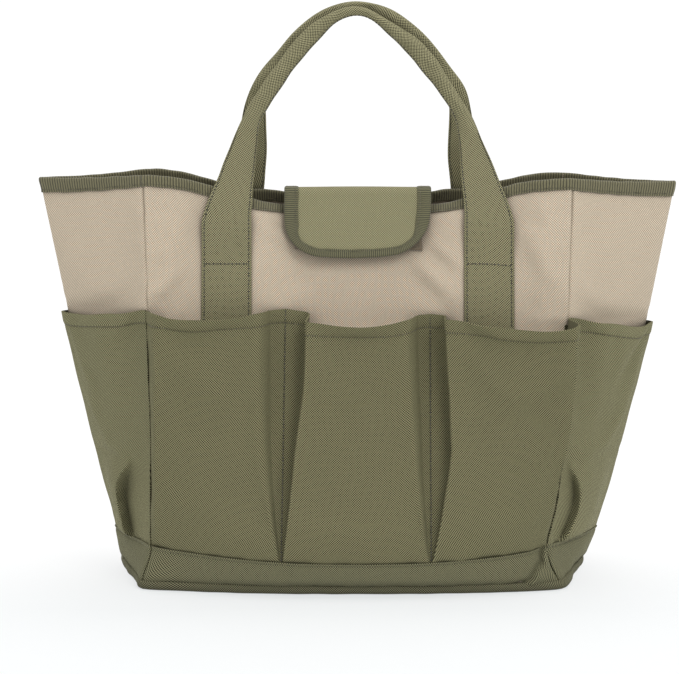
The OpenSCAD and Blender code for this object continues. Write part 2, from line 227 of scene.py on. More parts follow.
class Sheet:
    """A grid of points over (u, v): columns run left to right seen from outside, rows run up."""

    def __init__(self, fn, us, vs):
        self.us, self.vs = np.asarray(us, float), np.asarray(vs, float)
        self.U, self.V = np.meshgrid(self.us, self.vs)
        self.P = fn(self.U, self.V)
        self.N = grid_normals(self.P)

    def push(self, amount):
        """Moves the cloth along its normals by amount, a grid of millimetres."""
        self.P = self.P + self.N * np.asarray(amount)[..., None]
        self.N = grid_normals(self.P)

    def at(self, u, v, lift=0.0):
        """Points lifted off the sheet at (u, v), and the normals there."""
        u, v = np.broadcast_arrays(np.asarray(u, float), np.asarray(v, float))
        (i, a), (j, b) = cell(v, self.vs), cell(u, self.us)

        def blend(g):
            low = g[i, j] * (1 - b) + g[i, j + 1] * b
            high = g[i + 1, j] * (1 - b) + g[i + 1, j + 1] * b
            return low * (1 - a) + high * a

        n = unit(blend(self.N))
        return blend(self.P) + n * np.asarray(lift)[..., None], n

    def turned(self):
        """The same cloth on the opposite side of the bag."""
        twin = Sheet.__new__(Sheet)
        twin.__dict__.update(self.__dict__)
        twin.P, twin.N = self.P * TURN, self.N * TURN
        return twin


def arc_uv(p):
    """Distances along the cloth, in metres, from the middle of the grid."""
    du = np.linalg.norm(np.diff(p, axis=1), axis=-1)
    dv = np.linalg.norm(np.diff(p, axis=0), axis=-1)
    u = np.concatenate([np.zeros((p.shape[0], 1)), np.cumsum(du, axis=1)], axis=1)
    v = np.concatenate([np.zeros((1, p.shape[1])), np.cumsum(dv, axis=0)], axis=0)
    u -= u[:, u.shape[1] // 2][:, None]
    v = v * 0 + np.median(v, axis=1)[:, None]
    return np.stack([u, v], axis=-1) * MM


def grid_uv(across, up):
    return np.stack(np.meshgrid(across, up), axis=-1) * MM


def make_mesh(name, verts, faces, uvs=None, mats=(), face_mats=None, sharp=48):
    me = bpy.data.meshes.new(name)
    me.from_pydata((settle(verts) * MM).tolist(), [], [list(map(int, f)) for f in faces])
    for m in mats:
        me.materials.append(m)
    me.polygons.foreach_set("use_smooth", [True] * len(me.polygons))
    if face_mats is not None:
        me.polygons.foreach_set("material_index", np.asarray(face_mats, np.int32))
    if uvs is not None:
        layer = me.uv_layers.new(name="cloth")
        index = np.zeros(len(me.loops), np.int32)
        me.loops.foreach_get("vertex_index", index)
        layer.data.foreach_set("uv", np.asarray(uvs, np.float32)[index].ravel())
    me.validate()
    me.set_sharp_from_angle(angle=math.radians(sharp))
    ob = bpy.data.objects.new(name, me)
    bpy.context.scene.collection.objects.link(ob)
    return ob


def quads(n, m, closed=False):
    """Faces of a grid of n rows and m columns."""
    i, j = np.meshgrid(np.arange(n - 1), np.arange(m if closed else m - 1), indexing="ij")
    a, b = i * m + j, i * m + (j + 1) % m
    return np.stack([a, b, b + m, a + m], axis=-1).reshape(-1, 4)


def shell(name, outer, inner, mats, closed=False, uv=None):
    """A closed solid between two grids of points. The outer grid lies on the normals' side."""
    n, m = outer.shape[:2]
    k = n * m
    front = quads(n, m, closed)
    j = np.arange(m if closed else m - 1)
    j1 = (j + 1) % m
    top = (n - 1) * m
    faces = [front, front[:, [0, 3, 2, 1]] + k, np.stack([j, j + k, j1 + k, j1], axis=-1),
             np.stack([top + j, top + j1, top + j1 + k, top + j + k], axis=-1)]
    if not closed:
        i = np.arange(n - 1) * m
        e = i + m - 1
        faces += [np.stack([i, i + m, i + m + k, i + k], axis=-1), np.stack([e, e + k, e + m + k, e + m], axis=-1)]
    inside = 1 if len(mats) > 1 else 0
    kinds = np.concatenate([np.full(len(f), inside if q == 1 else 0) for q, f in enumerate(faces)])
    flat = (arc_uv((outer + inner) / 2) if uv is None else uv).reshape(-1, 2)
    return make_mesh(name, np.concatenate([outer.reshape(-1, 3), inner.reshape(-1, 3)]), np.concatenate(faces),
                     np.concatenate([flat, flat]), mats, kinds)


def skin(name, p, half, mat, closed=False, uv=None):
    """A thin solid reaching half its thickness to each side of a grid of points."""
    n = grid_normals(p, closed) * half
    return shell(name, p + n, p - n, [mat], closed, uv)


def cloth_piece(name, sheet, t, mats, extra=0.0):
    half = (t / 2 + extra / 2 + 0 * sheet.U)[..., None]
    return shell(name, sheet.P + sheet.N * half, sheet.P - sheet.N * half, mats)


def bag_piece(ob, slot_name, *nodes):
    """A piece that rides the bag, standing for the CAD nodes named."""
    if nodes:
        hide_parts(*nodes)
    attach(ob, "bag")


def four_sides(front_sheet, back_sheet, end_sheet):
    """Each side's label and sheet; the back and the left end are turned into place."""
    return (("front", front_sheet), ("back", back_sheet.turned()),
            ("right_end", end_sheet), ("left_end", end_sheet.turned()))


# ---------------------------------------------------------------- cloth simulation

SIM_FRAMES = 22
CLOTH_SETTINGS = dict(quality=6, mass=0.25, tension_stiffness=25, compression_stiffness=25, shear_stiffness=12,
                      tension_damping=12, compression_damping=12, shear_damping=12, bending_damping=1.5,
                      air_damping=3, vertex_group_mass="pin", pin_stiffness=2, use_pressure=True)


def spline_field(us, vs, grid):
    """A smooth function of (u, v) from a coarse grid of values, by cubic B-splines."""
    padded = np.pad(grid, ((1, 2), (1, 2), (0, 0)), mode="edge")

    def weights(t):
        return [(1 - t) ** 3 / 6, (3 * t**3 - 6 * t**2 + 4) / 6,
                (-3 * t**3 + 3 * t**2 + 3 * t + 1) / 6, t**3 / 6]

    def value(u, v):
        i = np.interp(v, vs, np.arange(len(vs)))
        j = np.interp(u, us, np.arange(len(us)))
        i0 = np.minimum(i.astype(int), len(vs) - 1)
        j0 = np.minimum(j.astype(int), len(us) - 1)
        wi, wj = weights(i - i0), weights(j - j0)
        return sum(padded[i0 + a, j0 + b] * (wi[a] * wj[b])[..., None] for a in range(4) for b in range(4))

    return value


def drape(sheet, pin, grow, bend, gravity, cap, pressure):
    """Adds a sheet to the simulation and returns what reads its result."""
    ob = make_mesh("drape", sheet.P.reshape(-1, 3), quads(*sheet.P.shape[:2]))
    group = ob.vertex_groups.new(name="pin")
    for index, w in enumerate(pin.ravel()):
        if w > 0.001:
            group.add([index], float(w), "REPLACE")
    cloth = ob.modifiers.new("Cloth", "CLOTH")
    for key, value in dict(CLOTH_SETTINGS, bending_stiffness=bend, shrink_min=-grow,
                           uniform_pressure_force=pressure).items():
        setattr(cloth.settings, key, value)
    cloth.settings.effector_weights.gravity = gravity
    cloth.collision_settings.use_collision = False
    cloth.point_cache.frame_start, cloth.point_cache.frame_end = 1, SIM_FRAMES

    def result(graph):
        me = ob.evaluated_get(graph).to_mesh()
        co = np.zeros(len(me.vertices) * 3)
        me.vertices.foreach_get("co", co)
        d = co.reshape(sheet.P.shape) / MM - settle(sheet.P)
        size = np.linalg.norm(d, axis=-1, keepdims=True)
        d = d * cap * np.tanh(size / cap) / np.maximum(size, 1e-6)
        return ob, spline_field(sheet.us, sheet.vs, d)

    return result


def drape_all(*jobs):
    """Runs every job's cloth in one simulation. Returns a displacement field per job, in millimetres."""
    scene = bpy.context.scene
    scene.frame_start, scene.frame_end = 1, SIM_FRAMES
    results = [drape(**job) for job in jobs]
    for f in range(1, SIM_FRAMES + 1):
        scene.frame_set(f)
    graph = bpy.context.evaluated_depsgraph_get()
    fields = []
    for ob, field in [result(graph) for result in results]:
        fields.append(field)
        bpy.data.objects.remove(ob)
    scene.frame_set(1)
    return fields


def draped(fn, field):
    return lambda u, v: fn(u, v) + field(u, v)


# ---------------------------------------------------------------- materials

# Painted shade: ambient occlusion darkens the cloth's colour in its folds and along its seams.
PAINTED_SHADE = 0.72  # how much darker the cloth is deep in its folds


def lin(rgb):
    return tuple(((c / 255 + 0.055) / 1.055) ** 2.4 if c / 255 > 0.04045 else c / 255 / 12.92
                 for c in rgb) + (1,)


class Nodes:
    """A material under construction."""

    def __init__(self, name):
        self.mat = bpy.data.materials.new(name)
        self.mat.use_nodes = True
        self.tree = self.mat.node_tree
        self.bsdf = self.tree.nodes["Principled BSDF"]

    def put(self, socket, value):
        if isinstance(value, bpy.types.NodeSocket):
            self.tree.links.new(value, socket)
        else:
            socket.default_value = value

    def set(self, node, **values):
        """Sets a node's attributes and inputs; an input's name has _ for each space."""
        for key, value in values.items():
            if hasattr(node, key):
                setattr(node, key, value)
            else:
                self.put(node.inputs[key.replace("_", " ")], value)
        return node

    def add(self, kind, **values):
        return self.set(self.tree.nodes.new("ShaderNode" + kind), **values)

    def place(self):
        return self.add("TexCoord").outputs["Object"]

    def cloth_uv(self):
        uv = self.add("UVMap", uv_map="cloth").outputs[0]
        return uv, *self.add("SeparateXYZ", Vector=uv).outputs[:2]

    def math(self, op, *values):
        node = self.add("Math", operation=op)
        for socket, value in zip(node.inputs, values):
            self.put(socket, value)
        return node.outputs[0]

    def linear(self, x, gain, base):
        return self.math("MULTIPLY_ADD", x, gain, base)

    def times(self, first, *factors):
        for factor in factors:
            first = self.math("MULTIPLY", first, factor)
        return first

    def sine(self, x, factor):
        return self.math("SINE", self.times(x, factor))

    def noise(self, vector, scale, detail=2.0, rough=0.5):
        return self.add("TexNoise", Vector=vector, Scale=scale, Detail=detail, Roughness=rough).outputs["Fac"]

    def painted_shade(self, reach):
        """Painted shade: 1 on open cloth, darker deep in folds and along seams."""
        return self.linear(self.add("AmbientOcclusion", samples=5, Distance=reach).outputs["AO"], PAINTED_SHADE, 1.0 - PAINTED_SHADE)

    def surface(self, rgb, shade, rough, bump, **values):
        """rgb times a grey shade, with a bump of (height, strength, distance); returns the material."""
        grey = self.add("CombineColor", Red=shade, Green=shade, Blue=shade)
        tint = self.add("Mix", data_type="RGBA", blend_type="MULTIPLY")
        for index, value in ((0, 1), (6, lin(rgb)), (7, grey.outputs[0])):
            self.put(tint.inputs[index], value)
        height, strength, distance = bump
        relief = self.add("Bump", Height=height, Strength=strength, Distance=distance)
        self.set(self.bsdf, Base_Color=tint.outputs[2], Roughness=rough, Normal=relief.outputs[0], **values)
        return self.mat


def woven(name, rgb, pitch=0.00096, depth=0.00016, sheen=0.2, rough=0.84, contrast=0.98):
    """Plain-woven polyester: yarns over and under, slubs, soft mottling, a pale sheen and painted shade in its folds.
    """
    k = Nodes(name)
    uv, across, up = k.cloth_uv()
    wobble, drift = k.noise(uv, 110, 2), k.noise(uv, 24, 1)
    u = k.linear(wobble, 0.0006, k.linear(drift, 0.004, across))
    v = k.linear(wobble, -0.0005, k.linear(drift, 0.003, up))
    over = k.times(k.sine(u, math.pi / pitch), k.sine(v, math.pi / pitch))
    crowns = k.math("POWER", k.math("ABSOLUTE", over), 0.4)
    side = k.linear(k.math("MINIMUM", k.math("MAXIMUM", k.times(over, 3.0), -1.0), 1.0), 0.5, 0.5)
    slub = k.noise(k.add("Mapping", Vector=uv, Scale=(1, 0.06, 1)).outputs[0], 1600, 1)
    mottle, broad = k.noise(k.place(), 26, 3, 0.6), k.noise(k.place(), 7, 2)
    # the last factor is painted shade, darker in folds and along seams
    shade = k.times(k.linear(crowns, 0.3, 0.79), k.linear(side, 2 * contrast, 1 - contrast), k.linear(slub, 0.14, 0.93),
                    k.linear(mottle, 0.08, 0.96), k.linear(broad, 0.06, 0.97), k.painted_shade(0.015))
    return k.surface(rgb, shade, k.linear(mottle, 0.16, rough - 0.08), (k.linear(side, 0.35, crowns), 0.8, depth),
                     Sheen_Weight=sheen, Sheen_Roughness=0.45, Sheen_Tint=lin([min(255, c * 1.35 + 20) for c in rgb]),
                     Specular_IOR_Level=0.2)


def grosgrain(name, rgb, pitch=0.0023, contrast=1.3):
    """Ribbed edge tape: ribs run across it, with a flat woven selvedge and painted shade in its folds."""
    k = Nodes(name)
    uv, across, up = k.cloth_uv()
    rib = k.math("ABSOLUTE", k.sine(k.linear(k.noise(uv, 240, 1), 0.0007, across), math.pi / pitch))
    fine = k.sine(up, math.pi / 0.0004)
    mottle = k.noise(k.place(), 60, 2)
    # the last factor is painted shade, darker in folds and along seams
    shade = k.times(k.linear(rib, contrast, 1.0 - 0.64 * contrast), k.linear(mottle, 0.14, 0.93), k.painted_shade(0.006))
    return k.surface(rgb, shade, k.linear(mottle, 0.15, 0.68), (k.linear(fine, 0.08, rib), 0.9, 0.00028),
                     Sheen_Weight=0.25, Specular_IOR_Level=0.3)


def thread(name, rgb):
    k = Nodes(name)
    twist, tone = k.noise(k.place(), 2600, 1), k.noise(k.place(), 90, 1)
    shade = k.times(k.linear(twist, 0.5, 0.75), k.linear(tone, 0.3, 0.85))
    return k.surface(rgb, shade, k.linear(tone, 0.1, 0.5), (twist, 0.6, 0.0001), Sheen_Weight=0.3)


def fuzzy(name, rgb, scale):
    """Hook-and-loop tape: a field of tiny hooks or loops."""
    k = Nodes(name)
    cells = k.add("TexVoronoi", Vector=k.place(), Scale=scale)
    fluff = k.noise(k.place(), scale * 0.6, 4, 0.7)
    height = k.math("SUBTRACT", fluff, cells.outputs["Distance"])
    return k.surface(rgb, k.linear(height, 0.7, 0.95), k.linear(fluff, 0.1, 0.88), (height, 1.0, 0.0005),
                     Sheen_Weight=0.5)


def moulded(name, rgb):
    k = Nodes(name)
    grain, scuff = k.noise(k.place(), 900, 3, 0.6), k.noise(k.place(), 18, 4, 0.65)
    shade = k.times(k.linear(grain, 0.12, 0.94), k.linear(scuff, 0.25, 0.87))
    return k.surface(rgb, shade, k.linear(scuff, 0.25, 0.5), (grain, 0.5, 0.0002))


KHAKI_CLOTH = woven("khaki_cloth", (196, 181, 160), contrast=0.48)
KHAKI_BACKING = woven("khaki_backing", (178, 166, 148), depth=0.00008, sheen=0.1, contrast=0.14)
GREEN_CLOTH = woven("green_cloth", (112, 109, 81))
GREEN_BACKING = woven("green_backing", (104, 101, 78), depth=0.00008, sheen=0.1, contrast=0.16)
# Painted light: the end pockets' cloth is lighter than the front pockets' green, standing in for the light falling on
# the ends.
LIT_END_CLOTH = woven("end_pocket_cloth_painted_light", (121, 118, 89))
BAND_CLOTH = woven("band_cloth", (109, 107, 82))
BASE_CLOTH = woven("base_cloth", (102, 100, 77))
# Painted shade: the seam allowances' cloth is much darker than the green, standing in for the shade in the corner
# crevices.
SHADED_SEAM_CLOTH = woven("seam_cloth_painted_shade", (70, 67, 46))
STRAP_CLOTH = woven("strap_cloth", (130, 126, 97))
FLAP_CLOTH = woven("flap_cloth", (139, 135, 104), contrast=0.5)
TAPE = grosgrain("edge_tape", (101, 97, 73))
FLAP_TAPE = grosgrain("flap_edge_tape", (95, 93, 69), 0.0017, 1.4)
STITCH, STITCH_DARK = thread("stitch_green", (88, 83, 58)), thread("stitch_dark", (56, 53, 34))
LOOP_FABRIC, HOOK_FABRIC = fuzzy("loop_patch", (122, 108, 88), 1300), fuzzy("hook_patch", (96, 84, 68), 700)
BOARD_PLASTIC = moulded("board_plastic", (70, 72, 66))


# ---------------------------------------------------------------- stitches

STITCH_LEN, STITCH_PITCH = 2.3, 3.1
THREAD_RING = 6
THREAD = ((-0.5, 0.05, -0.9), (-0.46, 0.55, -0.45), (-0.3, 0.95, 0), (0, 1, 0.12), (0.3, 0.95, 0),
          (0.46, 0.55, -0.45), (0.5, 0.05, -0.9))  # place along the stitch, radius and height of each ring


def capsule():
    """A short thread lying along X, tucked in at both ends."""
    turn = 2 * math.pi * np.arange(THREAD_RING) / THREAD_RING
    x, r, h = np.array(THREAD).T[..., None]
    verts = stack(x, r * np.cos(turn), r * np.sin(turn) + h).reshape(-1, 3)
    last = (len(THREAD) - 1) * THREAD_RING
    caps = [range(THREAD_RING), range(last + THREAD_RING - 1, last - 1, -1)]
    return verts, quads(len(THREAD), THREAD_RING, True)[:, ::-1].tolist() + [list(c) for c in caps]


def stitch_row(points, normals):
    """Frames (centre, along, up) of stitches laid along a path."""
    s = travel(points)
    if s[-1] < STITCH_LEN:
        return []
    centres = np.arange(STITCH_LEN / 2, s[-1] - STITCH_LEN / 2, STITCH_PITCH)

    def at(q, values):
        return np.stack([np.interp(q, s, values[:, k]) for k in range(3)], axis=-1)

    along = at(centres + STITCH_LEN / 2, points) - at(centres - STITCH_LEN / 2, points)
    return list(zip(at(centres, points), along, at(centres, normals)))


def make_stitches(name, frames, mat, radius=0.36):
    base, pattern = capsule()
    verts, faces = [], []
    for count, (c, along, n) in enumerate(frames):
        size = np.linalg.norm(along)
        x = along / size
        y = unit(np.cross(n, x))
        verts.append(c + base * (size, radius, radius) @ np.stack([x, y, np.cross(x, y)]))
        faces += [[v + count * len(base) for v in f] for f in pattern]
    return make_mesh(name, np.concatenate(verts), faces, None, [mat], None, 80)


def line(sheet, u, v, lift=0.25, n=160):
    """Stitches on a sheet along a line in (u, v); u and v are pairs of ends or arrays."""
    t = np.linspace(0, 1, n)
    u, v = (np.interp(t, np.linspace(0, 1, len(q)), q) for q in (u, v))
    return stitch_row(*sheet.at(u, v, lift))


def turned_frames(frames):
    return [(c * TURN, a * TURN, n * TURN) for c, a, n in frames]


# ---------------------------------------------------------------- walls

WALL_FOOT = 4.0  # height of the walls' lower edge
END_EPS = 0.035  # softness of the fold down the middle of each end


def front_wall(u, v, back=False):
    """u from -1 to 1 between the corner seams, v the share of the height up to the rim."""
    top = rim_z(u) - RIM_DROP - 2.0 * near(np.abs(u) - 0.55, 0.22)
    middle = 1 - smooth(0.40, 0.58, np.abs(u))
    top = top + (6.0 if back else 0.5) * middle
    z = mix(WALL_FOOT, top, v)
    lean = middle * (1 - ramp(0, 15, top - z)) ** 1.3 * (0.25 if back else 1.0)
    x = u * corner_x(z)
    return stack(x, -wall_y(x, z) + 7.0 * lean, z - 3.6 * lean)


def back_wall(u, v):
    return front_wall(u, v, True)


def soft_abs(s):
    return (np.sqrt(s**2 + END_EPS**2) - END_EPS) / (math.sqrt(1 + END_EPS**2) - END_EPS)


def end_point(s, z):
    """The right end's wall at height z: s from the front corner (-1) over the crease (0) to the back corner (1)."""
    return stack(mix(crease_x(z), corner_x(z), soft_abs(s)), s * corner_y(z), z)


def end_out(s, z):
    """The right end's outward direction."""
    along = unit(stack(crease_x(z) - corner_x(z), corner_y(z), 0 * z))
    turn = smooth(0, 0.07, np.abs(s))
    return unit(stack(mix(1.0, along[..., 1], turn), np.sign(s + 1e-9) * along[..., 0] * turn, 0 * z))


def end_wall(s, v):
    level = mix(WALL_FOOT, WALL_H, v)
    a = np.abs(s)
    fall = CREASE_DROP * (1 - a) + RIM_DROP * a + 1.6 * np.sin(math.pi * a)
    p = end_point(s, level)
    p[..., 2] = level - fall * ramp(POCKET_TOP, WALL_H, level)
    return p


def pinned(*shares):
    """How firmly the simulation holds each point: the firmest of the shares."""
    return np.maximum.reduce([*np.broadcast_arrays(*shares, 0.02)])


def front_pin(sheet):
    from_strap = np.abs(np.abs(sheet.P[..., 0]) - STRAP_X)
    below_rim = (1 - sheet.V) * rim_z(sheet.U)
    return pinned(1 - smooth(0, 0.05, 1 - np.abs(sheet.U)), 1 - smooth(190, 222, sheet.P[..., 2]),
                  1 - smooth(TAPE_H, TAPE_H + 10, below_rim),
                  1 - smooth(STRAP_W / 2 + 4, STRAP_W / 2 + 16, from_strap))


def end_pin(sheet):
    a = np.abs(sheet.U)
    return pinned(1 - smooth(0, 0.06, 1 - a), 1 - smooth(185, 222, sheet.P[..., 2]),
                  1 - smooth(TAPE_H, TAPE_H + 10, (1 - sheet.V) * WALL_H), 0.6 * (1 - smooth(0.02, 0.12, a)))


# ---------------------------------------------------------------- pockets

FOLD_AT = [0, 0.1, 0.218, 0.34, 0.465, 0.712, 1.0]
FOLD_WIDTHS = {  # how far each pocket's fold stands from the divider seam, by share of the height
    (-1, -1): [1.2, 3.4, 7.0, 9.8, 12.0, 13.0, 14.6],
    (-1, 1): [1.2, 3.2, 6.0, 8.4, 10.8, 16.5, 19.0],
    (1, -1): [1.2, 3.4, 5.6, 7.2, 8.4, 10.7, 12.4],
    (1, 1): [1.2, 5.0, 10.0, 14.5, 17.8, 15.0, 11.7]}
# Station, distance from the seam and share of the pocket's depth: the left side of each seam rolls in softly,
# the right side folds over it.
SOFT_FOLD = np.array([(q, q, depth) for q, depth in (
    (0, 0), (0.25, 0.05), (0.5, 0.10), (0.7, 0.13), (0.82, 0.16), (0.9, 0.20), (0.96, 0.27), (1.02, 0.36),
    (1.08, 0.45), (1.16, 0.56), (1.26, 0.67), (1.4, 0.79), (1.56, 0.89), (1.75, 0.96), (1.9, 0.99), (2.0, 1.0))])
SHARP_FOLD = np.array([
    (0, 0, 0), (0.2, 0.26, 0.03), (0.4, 0.52, 0.05), (0.55, 0.74, 0.06), (0.7, 0.93, 0.08), (0.78, 1.01, 0.13),
    (0.83, 1.05, 0.22), (0.87, 1.05, 0.36), (0.9, 1.01, 0.52), (0.93, 0.965, 0.68), (0.96, 0.94, 0.81),
    (1.0, 0.945, 0.90), (1.05, 0.985, 0.955), (1.12, 1.07, 0.985), (1.22, 1.2, 1.0), (1.3, 1.3, 1.0)])
FOLDS = {-1: SOFT_FOLD, 1: SHARP_FOLD}
REACH = {turn: float(fold[-1, 0]) for turn, fold in FOLDS.items()}
EDGE = 13.0  # width of the roll beside each corner seam


def band_seam_z(x):
    """Height of the seam between the pockets and the base band."""
    return BAND_SEAM + 8.0 * (np.abs(x) / CORNER_X) ** 2.0


def rounded_ramp(t, k=0.16):
    """0 to 1 over t in 0..1 as a straight slope with a small fold at each end."""
    hi = 0.5 * (t + 1 - np.sqrt((t - 1) ** 2 + k * k))
    return 0.5 * (hi + np.sqrt(hi**2 + (0.5 * k) ** 2)) - 0.25 * k


def fold_width(side, turn, w):
    return np.interp(w, FOLD_AT, FOLD_WIDTHS[side, turn])


def divider_x(side, w):
    return np.where(side < 0, mix(-62.4, -59.7, w), mix(59.1, 59.6, w))


def knots(w):
    """Where the cloth's stations lie across the front at a share w of the height."""
    c = corner_x(mix(34.0, 231.0, w))
    out = [-c]
    for side in (-1, 1):
        d = divider_x(side, w)
        out += [d - REACH[-1] * fold_width(side, -1, w), d, d + REACH[1] * fold_width(side, 1, w)]
    return np.stack(out + [c], axis=-1)


KNOTS_U = knots(np.array([1.0]))[0]


def front_pocket(u, w):
    """u is a station's x at the mouth, w the share of the height from the band seam to the mouth."""
    u, w = np.broadcast_arrays(np.asarray(u, float), np.asarray(w, float))
    k = np.clip(np.searchsorted(KNOTS_U, u, side="right") - 1, 0, len(KNOTS_U) - 2)
    at = knots(w)
    a, b = (np.take_along_axis(at, k[..., None] + q, -1)[..., 0] for q in (0, 1))
    x = a + (u - KNOTS_U[k]) / (KNOTS_U[k + 1] - KNOTS_U[k]) * (b - a)
    share, drop = np.ones(x.shape), np.ones(x.shape)
    for side in (-1, 1):
        d = divider_x(side, w)
        for turn, fold in FOLDS.items():
            span = (u - float(divider_x(side, 1.0))) * turn
            t = span / fold_width(side, turn, 1.0)
            zone = (t >= 0) & (t <= REACH[turn])
            x = np.where(zone, d + turn * fold_width(side, turn, w) * np.interp(t, fold[:, 0], fold[:, 1]), x)
            depth = np.interp(t, fold[:, 0], fold[:, 2])
            share = np.where(zone, depth, share)
            gather = smooth(5, 36, span) if turn < 0 else 0.35 * ramp(0, 1, t) + 0.65 * depth
            drop = np.where((span >= 0) & (span < 40), np.minimum(drop, gather), drop)
    right, left = (np.clip(gap / EDGE, 0, 5) for gap in (KNOTS_U[-1] - u, u - KNOTS_U[0]))
    x = x + 16.0 * w**0.7 * smooth(0, 0.3, w) * smooth(0, 0.7, right) * (1 - smooth(1.0, 3.6, right))
    x = x - 2.0 * w**1.5 * smooth(0, 0.7, left) * (1 - smooth(1.0, 3.0, left))
    side_share = np.minimum(rounded_ramp(right * mix(5.0, 1.0, w)), rounded_ramp(left * mix(5.0, 1.25, w)))
    share, drop = np.minimum(share, side_share), np.minimum(drop, side_share)
    left_face = 229.3 + 0.5 * smooth(125, 172, -u)
    right_face = 224.5 - 0.8 * smooth(70, 115, u) + 4.0 * smooth(125, 172, u)
    face = np.where(np.abs(u) < DIVIDER_X, 220.6 + 0.8 * (np.abs(u) / 45) ** 2, np.where(u < 0, left_face, right_face))
    seam_top = np.where(np.abs(u) > 120, np.where(u < 0, 229.5, 231.6), np.where(u < 0, 229.0, 224.9))
    z = mix(band_seam_z(x) - 3.0, mix(seam_top, face, drop), w)
    out = POCKET_OUT * np.power(np.maximum(w - 0.01, 0), 0.66)
    belly = 1 + 0.06 * np.cos(math.pi * np.clip((np.abs(u) - 116) / 50, -1, 1)) * w
    lift = 1.2 + 0.8 * ramp(0.02, 0.1, w) + np.maximum(out * share * belly, 0)
    return stack(x, -(wall_y(x, z) + lift), z)


def end_band_seam_z(s):
    return mix(34.0, 37.5, np.abs(s) ** 1.5)


def end_pocket(s, w):
    """The right end's pocket: s as on the end wall, w from the band seam to the mouth."""
    a, face = np.abs(s), np.sign(s + 1e-9)
    top = mix(220.8, np.where(face < 0, 232.0, 229.9), smooth(0, 1, a))
    # an inverted pleat beside each corner seam takes up the cloth's width just above the band
    t = w / 0.335
    dip = np.clip(t, 0, 1) * (1 - np.clip(t, 0, 1))
    crest = np.where(face < 0, mix(0.82, 0.88, t) - 0.48 * dip, mix(0.57, 0.68, t) - 0.62 * dip)
    pleat = smooth(0, 0.04, w) * (1 - smooth(0.72, 1.18, t))
    d = a - crest
    lump = np.where(face < 0, 4.0, 8.0) * pleat * smooth(0.05, 0.5, a) * (1 - smooth(-0.005, 0.05, d))
    tuck = 0.055 * pleat * (near(d + 0.03, 0.05) - near(d - 0.06, 0.05))
    rolled = 15.0 * (1 - smooth(np.where(face < 0, 0.62, 0.5), 0.97, a))
    rise = np.where(a < 0.5, mix(4.0, 15.0, smooth(0, 0.5, a)), rolled) * np.power(np.maximum(w - 0.015, 0), 0.7)
    out = 1.4 + rise * (1 - 0.7 * pleat * smooth(-0.02, 0.05, d)) + lump
    z = mix(end_band_seam_z(s) - 3.0, top, w)
    s = face * np.clip(a + tuck, 0, 1)
    return end_point(s, z) + end_out(s, z) * out[..., None]


def hem_rows(height):
    """Rows up a pocket: fine near both seams and across the hem's stitch line."""
    hem = HEM / height
    return np.array([0.0, 0.008, 0.016, 0.026, 0.04, *np.linspace(0.06, 1 - hem - 0.02, 46),
                     *(1 - hem + q for q in (-0.009, -0.004, 0, 0.004, 0.009)),
                     *(1 - hem * q for q in (0.6, 0.3, 0.1)), 1.0])


def fold_cols(fine=True):
    """Stations across the front: through every fold, and evenly between."""
    out = []
    for i, (a, b) in enumerate(zip(KNOTS_U, KNOTS_U[1:])):
        if i in (1, 4):
            out += list(b - SOFT_FOLD[::-1, 0] * (b - a) / REACH[-1])
        elif i in (2, 5):
            out += list(a + SHARP_FOLD[:, 0] * (b - a) / REACH[1])
        else:
            out += list(np.linspace(a, b, max(2, round((b - a) / (3.6 if fine else 5.2))) + 1))
    if fine:
        out += [KNOTS_U[0] + q for q in (0.7, 1.6, 3.0, 5.0, 7.5)]
        out += [KNOTS_U[-1] - q for q in (0.7, 1.6, 3.0, 5.0, 7.5, 10, 12.5)]
    out = sorted(set(np.round(out, 4)))
    keep = [out[0]]
    for q in out[1:]:
        if q - keep[-1] > (0.28 if fine else 0.9):
            keep.append(q)
    return np.array(keep if keep[-1] == out[-1] else keep + [out[-1]])


def pocket_pin(sheet):
    u, w = sheet.U, sheet.V
    return pinned(1 - smooth(0.02, 0.2, w), 1 - smooth(17, 26, np.abs(np.abs(u) - DIVIDER_X)),
                  1 - smooth(6, 14, KNOTS_U[-1] - np.abs(u)), 0.15 * smooth(0.93, 1, w))


def end_pocket_pin(sheet):
    a, w = np.abs(sheet.U), sheet.V
    return pinned(1 - smooth(0.25, 0.45, w), smooth(0.9, 1, a), 0.7 * (1 - smooth(0.02, 0.12, a)),
                  0.1 * smooth(0.93, 1, w))


def job(sheet, pin, **settings):
    return dict(sheet=sheet, pin=pin(sheet), **settings)


front_drape, end_drape, pocket_drape, end_pocket_drape = drape_all(
    job(Sheet(front_wall, spaced((-1, 1, 0.0285)), spaced((0, 1, 0.0155))), front_pin,
        grow=0.010, bend=1.2, gravity=0.6, cap=5.0, pressure=0.6),
    job(Sheet(end_wall, spaced((-1, -0.08, 0.055), (-0.08, 0.08, 0.02), (0.08, 1, 0.055)), spaced((0, 1, 0.016))),
        end_pin, grow=0.008, bend=1.2, gravity=0.6, cap=5.0, pressure=0.4),
    job(Sheet(front_pocket, fold_cols(False), spaced((0, 1, 0.026))), pocket_pin,
        grow=0.012, bend=1.0, gravity=0.8, cap=5.0, pressure=0.5),
    job(Sheet(end_pocket, spaced((-1, -0.06, 0.05), (-0.06, 0.06, 0.03), (0.06, 1, 0.05)), spaced((0, 1, 0.028))),
        end_pocket_pin, grow=0.010, bend=1.0, gravity=0.8, cap=4.5, pressure=0.4))

# ---------------------------------------------------------------- wall and pocket pieces

# Soft diagonal folds: ends in x and z, width and height.
WALL_FOLDS = ((40, 276, 86, 232, 7, 2.8), (58, 286, 88, 262, 5, 1.8), (-52, 280, -86, 300, 5, 1.6),
              (-150, 262, -172, 236, 7, 1.6), (136, 300, 168, 248, 8, 1.8), (-20, 262, -52, 232, 8, 1.6))
POCKET_FOLDS = ((-166, 218, -100, 150, 9, 1.8), (-84, 214, -96, 150, 8, 1.0), (84, 205, 100, 130, 9, 0.9),
                (-34, 205, -22, 120, 9, 0.8))


